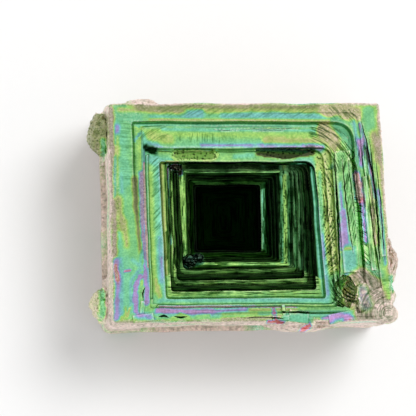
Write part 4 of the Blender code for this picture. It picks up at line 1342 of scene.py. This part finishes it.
def oxide_skin():
    """The metal and its film, with painted light and shade, from the attributes on the vertices."""
    material = bpy.data.materials.new("oxide_skin")
    material.use_nodes = True
    tree = Tree(material.node_tree)
    place = tree.node("ShaderNodeTexCoord", output="Object")
    place = tree.node("ShaderNodeVectorMath", {"operation": "SCALE"}, {0: place, "Scale": 1 / MM})
    cloud, grain, speck = (noise_of(tree, place, *size) for size in ((0.7,), (3.0, 4.0), (7.0, 2.0)))
    growth, fine_growth = lined(tree, place, "across", 2.2), lined(tree, place, "lines", 5.0)
    striae, edge, rough, pits = (tree.value(name) for name in ("striae", "edge", "rough", "pits"))
    # the film's colour, and where it is worn away
    film = tree.value("film") + cloud.swing(0.06) + grain.swing(0.07) + growth.swing(0.03)
    colour = tree.node("ShaderNodeValToRGB", {"stops": FILM_COLOURS}, {0: film})
    dull = tree.node("ShaderNodeValToRGB", {"stops": DULL_COLOURS}, {0: noise_of(tree, place, 2.2, 5.0)})
    bare = (tree.value("bare") * 1.6 + speck.swing(1.0) + grain.swing(1.0) - 0.35).clamped()
    worn = (bare + edge * (grain + 0.1)).clamped()
    colour = mixed(tree, worn, colour, dull)
    # what makes it darker or brighter: real pits and growth furrows, painted shade in hollows, a painted
    # highlight on sharp edges, and the painted light and shade stored as light
    spots = tree.node("ShaderNodeTexVoronoi", {}, {"Vector": place, "Scale": SPOTS}) < (speck - 0.2)
    furrows = (fine_growth < FURROW_SHARE) * striae
    dark = (spots * pits * 0.85 + tree.value("crevice") * 0.4 + furrows * 0.8).clamped()
    mottle = 0.94 + cloud.swing(0.7) + grain.swing(0.8) + speck.swing(0.5)
    mottle = mottle + (fine_growth - 0.5) * striae * 2.0 + edge * 0.8
    light = tree.value("light") * (1 - dark) * mottle
    red, blue = light.sum("POWER", light, RED_POWER), light.sum("POWER", light, BLUE_POWER)
    painted_light_tint = tree.node("ShaderNodeCombineColor", {}, {0: red, 1: light, 2: blue})
    # the small relief that only bends the light
    height = growth * 0.3 + grain * (rough * 0.8 + 0.25) + speck * rough * 0.4 + fine_growth * striae * 0.9
    bump = {"Height": height, "Strength": 0.5, "Distance": BUMP_HEIGHT * MM}
    settings = {
        "Base Color": mixed(tree, 1.0, colour, painted_light_tint, "MULTIPLY"),
        "Metallic": 1 - worn * 0.5,
        "Roughness": (FILM_ROUGHNESS + worn * WORN_ROUGHNESS + grain.swing(0.16) + pits * 0.15).clamped(),
        "Normal": tree.node("ShaderNodeBump", {}, bump),
    }
    shader = tree.node("ShaderNodeBsdfPrincipled", {}, settings)
    tree.node("ShaderNodeOutputMaterial", {}, {"Surface": shader})
    return material


skin = oxide_skin()
print("the skin's material has", len(skin.node_tree.nodes), "nodes")

# %% [markdown]
# ## Relief and grains by Geometry Nodes
# No surface of the crystal is truly flat. A first tree pushes each point in or out along its normal, more
# where the attribute named rough is high. A second one scatters small grains over the crumbly parts:
# about a thousand copies of one shape, turned and sized at random, which no one would place by hand. The
# last nodes of both make copies one real mesh and give it the skin's material.

# %% The relief
NUMBER, WHOLE_NUMBER, FINISH = "NodeSocketFloat", "NodeSocketInt", "NodeSocketMaterial"


def tree_with(name, sockets):
    """An empty geometry tree with a Geometry input and output, and named inputs of other kinds."""
    group = bpy.data.node_groups.new(name, "GeometryNodeTree")
    group.interface.new_socket("Geometry", in_out="INPUT", socket_type="NodeSocketGeometry")
    for label, kind in sockets.items():
        group.interface.new_socket(label, in_out="INPUT", socket_type=kind)
    group.interface.new_socket("Geometry", in_out="OUTPUT", socket_type="NodeSocketGeometry")
    tree = Tree(group)
    start = tree.node("NodeGroupInput")
    return group, tree, {label: start.also(label) for label in ("Geometry", *sockets)}


def end_tree(tree, geometry, finish):
    """Makes copies real, gives them their finish and hands them out."""
    real = tree.node("GeometryNodeRealizeInstances", {}, {"Geometry": geometry})
    coated = tree.node("GeometryNodeSetMaterial", {}, {"Geometry": real, "Material": finish})
    tree.node("NodeGroupOutput", {}, {"Geometry": coated})


def grow(target, group, values):
    """Adds a geometry tree to an object, with its inputs set by identifier."""
    modifier = target.modifiers.new(group.name, "NODES")
    modifier.node_group = group
    for item in group.interface.items_tree:
        if item.in_out == "INPUT" and item.name in values:
            modifier[item.identifier] = values[item.name]
    return modifier


def relief_tree():
    """Pushes every point along its normal, by noise and by the attribute named rough."""
    group, tree, given = tree_with("relief", {"Amount": NUMBER, "Scale": NUMBER, "Material": FINISH})
    place = tree.node("GeometryNodeInputPosition")
    rough = tree.node("GeometryNodeInputNamedAttribute", {"data_type": "FLOAT"}, {"Name": "rough"})
    look = {"Vector": place, "Scale": given["Scale"], "Detail": 3.0, "Roughness": 0.6}
    amount = tree.node("ShaderNodeTexNoise", {}, look).swing(1.0) * rough * given["Amount"]
    normal = tree.node("GeometryNodeInputNormal")
    push = tree.node("ShaderNodeVectorMath", {"operation": "SCALE"}, {0: normal, "Scale": amount})
    moved = tree.node("GeometryNodeSetPosition", {}, {"Geometry": given["Geometry"], "Offset": push})
    end_tree(tree, moved, given["Material"])
    return group


def keep_in_box(piece):
    """Moves the few points that left the plain solid's box back onto it."""
    points = np.empty(len(piece.data.vertices) * 3)
    piece.data.vertices.foreach_get("co", points)
    piece.data.vertices.foreach_set("co", np.clip(points.reshape(-1, 3), *cad_box).ravel())


RELIEF = 0.34  # peak to peak, in millimetres, where rough is 1
RELIEF_WAVES = 1.1  # to a millimetre
crystal.data.materials.append(skin)
grow(crystal, relief_tree(), {"Amount": RELIEF * MM, "Scale": RELIEF_WAVES / MM, "Material": skin})
settle(crystal)
keep_in_box(crystal)
print("relief of", RELIEF, "mm on", len(crystal.data.vertices), "points")


# %% The grains
GRAIN_SMALLEST, GRAIN_LARGEST = (0.6, 0.6, 0.4), (1.3, 1.3, 0.8)  # how far a grain is squashed or drawn out
CRUMBLY = 0.55  # grains lie where rough is above this


def grains_tree():
    """Scatters small balls, squashed and turned at random, where rough is high."""
    sockets = {"Density": NUMBER, "Smallest": NUMBER, "Largest": NUMBER, "Seed": WHOLE_NUMBER}
    group, tree, given = tree_with("grains", sockets | {"Material": FINISH})
    rough = tree.node("GeometryNodeInputNamedAttribute", {"data_type": "FLOAT"}, {"Name": "rough"})
    density = given["Density"] * ((rough - CRUMBLY) * 2.0).clamped()
    settings = {"Mesh": given["Geometry"], "Density": density, "Seed": given["Seed"]}
    points = tree.node("GeometryNodeDistributePointsOnFaces", {}, settings, "Points")
    shape = tree.node("GeometryNodeMeshIcoSphere", {}, {"Radius": 1.0, "Subdivisions": 1})
    reach = {2: given["Smallest"], 3: given["Largest"]}
    size = tree.node("FunctionNodeRandomValue", {"data_type": "FLOAT"}, reach, 1)
    shapes = {0: GRAIN_SMALLEST, 1: GRAIN_LARGEST}
    squash = tree.node("FunctionNodeRandomValue", {"data_type": "FLOAT_VECTOR"}, shapes, 0)
    scale = tree.node("ShaderNodeVectorMath", {"operation": "SCALE"}, {0: squash, "Scale": size})
    settings = {"Points": points, "Instance": shape, "Rotation": points.also("Rotation"), "Scale": scale}
    end_tree(tree, tree.node("GeometryNodeInstanceOnPoints", {}, settings), given["Material"])
    return group


GRAIN_SIZES = {"Smallest": 0.05 * MM, "Largest": 0.17 * MM}
GRAINS_PER_MM2 = 3.2
grains = placed("grains", crystal.data.copy())
grow(grains, grains_tree(), GRAIN_SIZES | {"Density": GRAINS_PER_MM2 / MM**2, "Seed": 4, "Material": skin})
settle(grains)
keep_in_box(grains)
print("the grains have", len(grains.data.polygons), "faces")

# %% Shade smooth, with the edges kept sharp
SHARP_ANGLE = math.radians(32)
for piece in (crystal, grains):
    piece.data.shade_smooth()
    piece.data.set_sharp_from_angle(angle=SHARP_ANGLE)
print("edges that turn by more than", round(math.degrees(SHARP_ANGLE)), "degrees stay sharp")

# %% [markdown]
# ## Tell the frame what stands for what
# The fine mesh takes the plain solid's place, and the grains are part of it: both ride on the same body
# and have the same finish. They could be one mesh, but apart each can be changed without the other.

# %% Ride and replace
for piece in (crystal, grains):
    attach(piece, "root")
    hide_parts("bismuth_crystal")
    print(piece.name, "stands for the solid with", len(piece.data.polygons), "faces")

# %% [markdown]
# ## The studio
# The crystal lies on a sheet of white card. A metal shows only what it reflects, so most of its light is
# an even white world all round, with a wide, weak light straight above for the level treads. A stronger
# one, high on the upper right, throws the soft shadow to the lower left. It is kept out of mirror
# reflections, because facets that happen to face it would turn plain white.

# %% Card and lights
CARD_HALF = 0.6
CARD_SHADE = 0.82
CARD_TOOTH = 0.01  # how much the card's grain changes its shade
WORLD_STRENGTH = 0.70


def card():
    """Matt white card with a faint tooth."""
    material = bpy.data.materials.new("white_card")
    material.use_nodes = True
    tree = Tree(material.node_tree)
    place = tree.node("ShaderNodeTexCoord", output="Object")
    tooth = tree.node("ShaderNodeTexNoise", {}, {"Vector": place, "Scale": 900.0})
    shade = tooth * CARD_TOOTH + CARD_SHADE
    colour = tree.node("ShaderNodeCombineColor", {}, {0: shade, 1: shade, 2: shade})
    shader = tree.node("ShaderNodeBsdfPrincipled", {}, {"Base Color": colour, "Roughness": 0.9})
    tree.node("ShaderNodeOutputMaterial", {}, {"Surface": shader})
    return material


def soft_light(name, place, target, size, power):
    """A square area light that faces a point."""
    made = placed(name, bpy.data.lights.new(name, "AREA"))
    made.data.size = size
    made.data.energy = power
    made.location = place
    made.rotation_euler = (Vector(target) - Vector(place)).to_track_quat("-Z", "Y").to_euler()
    return made


mesh = bpy.data.meshes.new("floor")
corners = [(x * CARD_HALF, y * CARD_HALF, 0) for x, y in ((-1, -1), (1, -1), (1, 1), (-1, 1))]
mesh.from_pydata(corners, [], [(0, 1, 2, 3)])
floor = placed("floor", mesh)
floor.data.materials.append(card())
soft_light("overhead", (0.0, 0.0, 0.75), (0, 0, 0), 0.55, 0.3)
key = soft_light("key", (0.33, 0.30, 0.89), (0, 0, 0.01), 0.4, 5.8)
key.visible_glossy = False
world = bpy.data.worlds.new("studio")
world.use_nodes = True
world.node_tree.nodes["Background"].inputs["Color"].default_value = (1.0, 1.0, 1.0, 1.0)
world.node_tree.nodes["Background"].inputs["Strength"].default_value = WORLD_STRENGTH
bpy.context.scene.world = world
bpy.context.scene.view_settings.view_transform = "Standard"
print("the world gives", WORLD_STRENGTH, "and the key light", key.data.energy, "watts")

# %% [markdown]
# ## The camera
# It looks almost straight down into the pit, from a little to the lower left, so that the west and the
# south wall just show. Its lens follows from its distance and from how much of the rim a pixel covers.

# %% Place the camera
PIXEL = 0.15  # millimetres of the rim in one of the render's pixels
PIXELS = 416  # across the render
DISTANCE = 450.0
LEAN = math.radians(4.0)
AIM = Vector((-5.31, 1.275, HEIGHT)) - Vector(MIDDLE)
SENSOR = 36.0

look = Vector((math.tan(LEAN), math.tan(LEAN), -1.0)).normalized()
right = look.cross(Vector((0, 1, 0))).normalized()
turn = Matrix((right, right.cross(look), -look)).transposed().to_4x4()
camera = placed("camera", bpy.data.cameras.new("camera"))
camera.matrix_world = Matrix.Translation((AIM - look * DISTANCE) * MM) @ turn
camera.data.sensor_width = SENSOR
camera.data.lens = SENSOR * DISTANCE / (PIXELS * PIXEL)
bpy.context.scene.camera = camera
print("the camera's lens is", round(camera.data.lens, 1), "mm")

# %% [markdown]
# ## The plain solid's box
# The fine mesh and the grains were moved back within the plain solid's box.
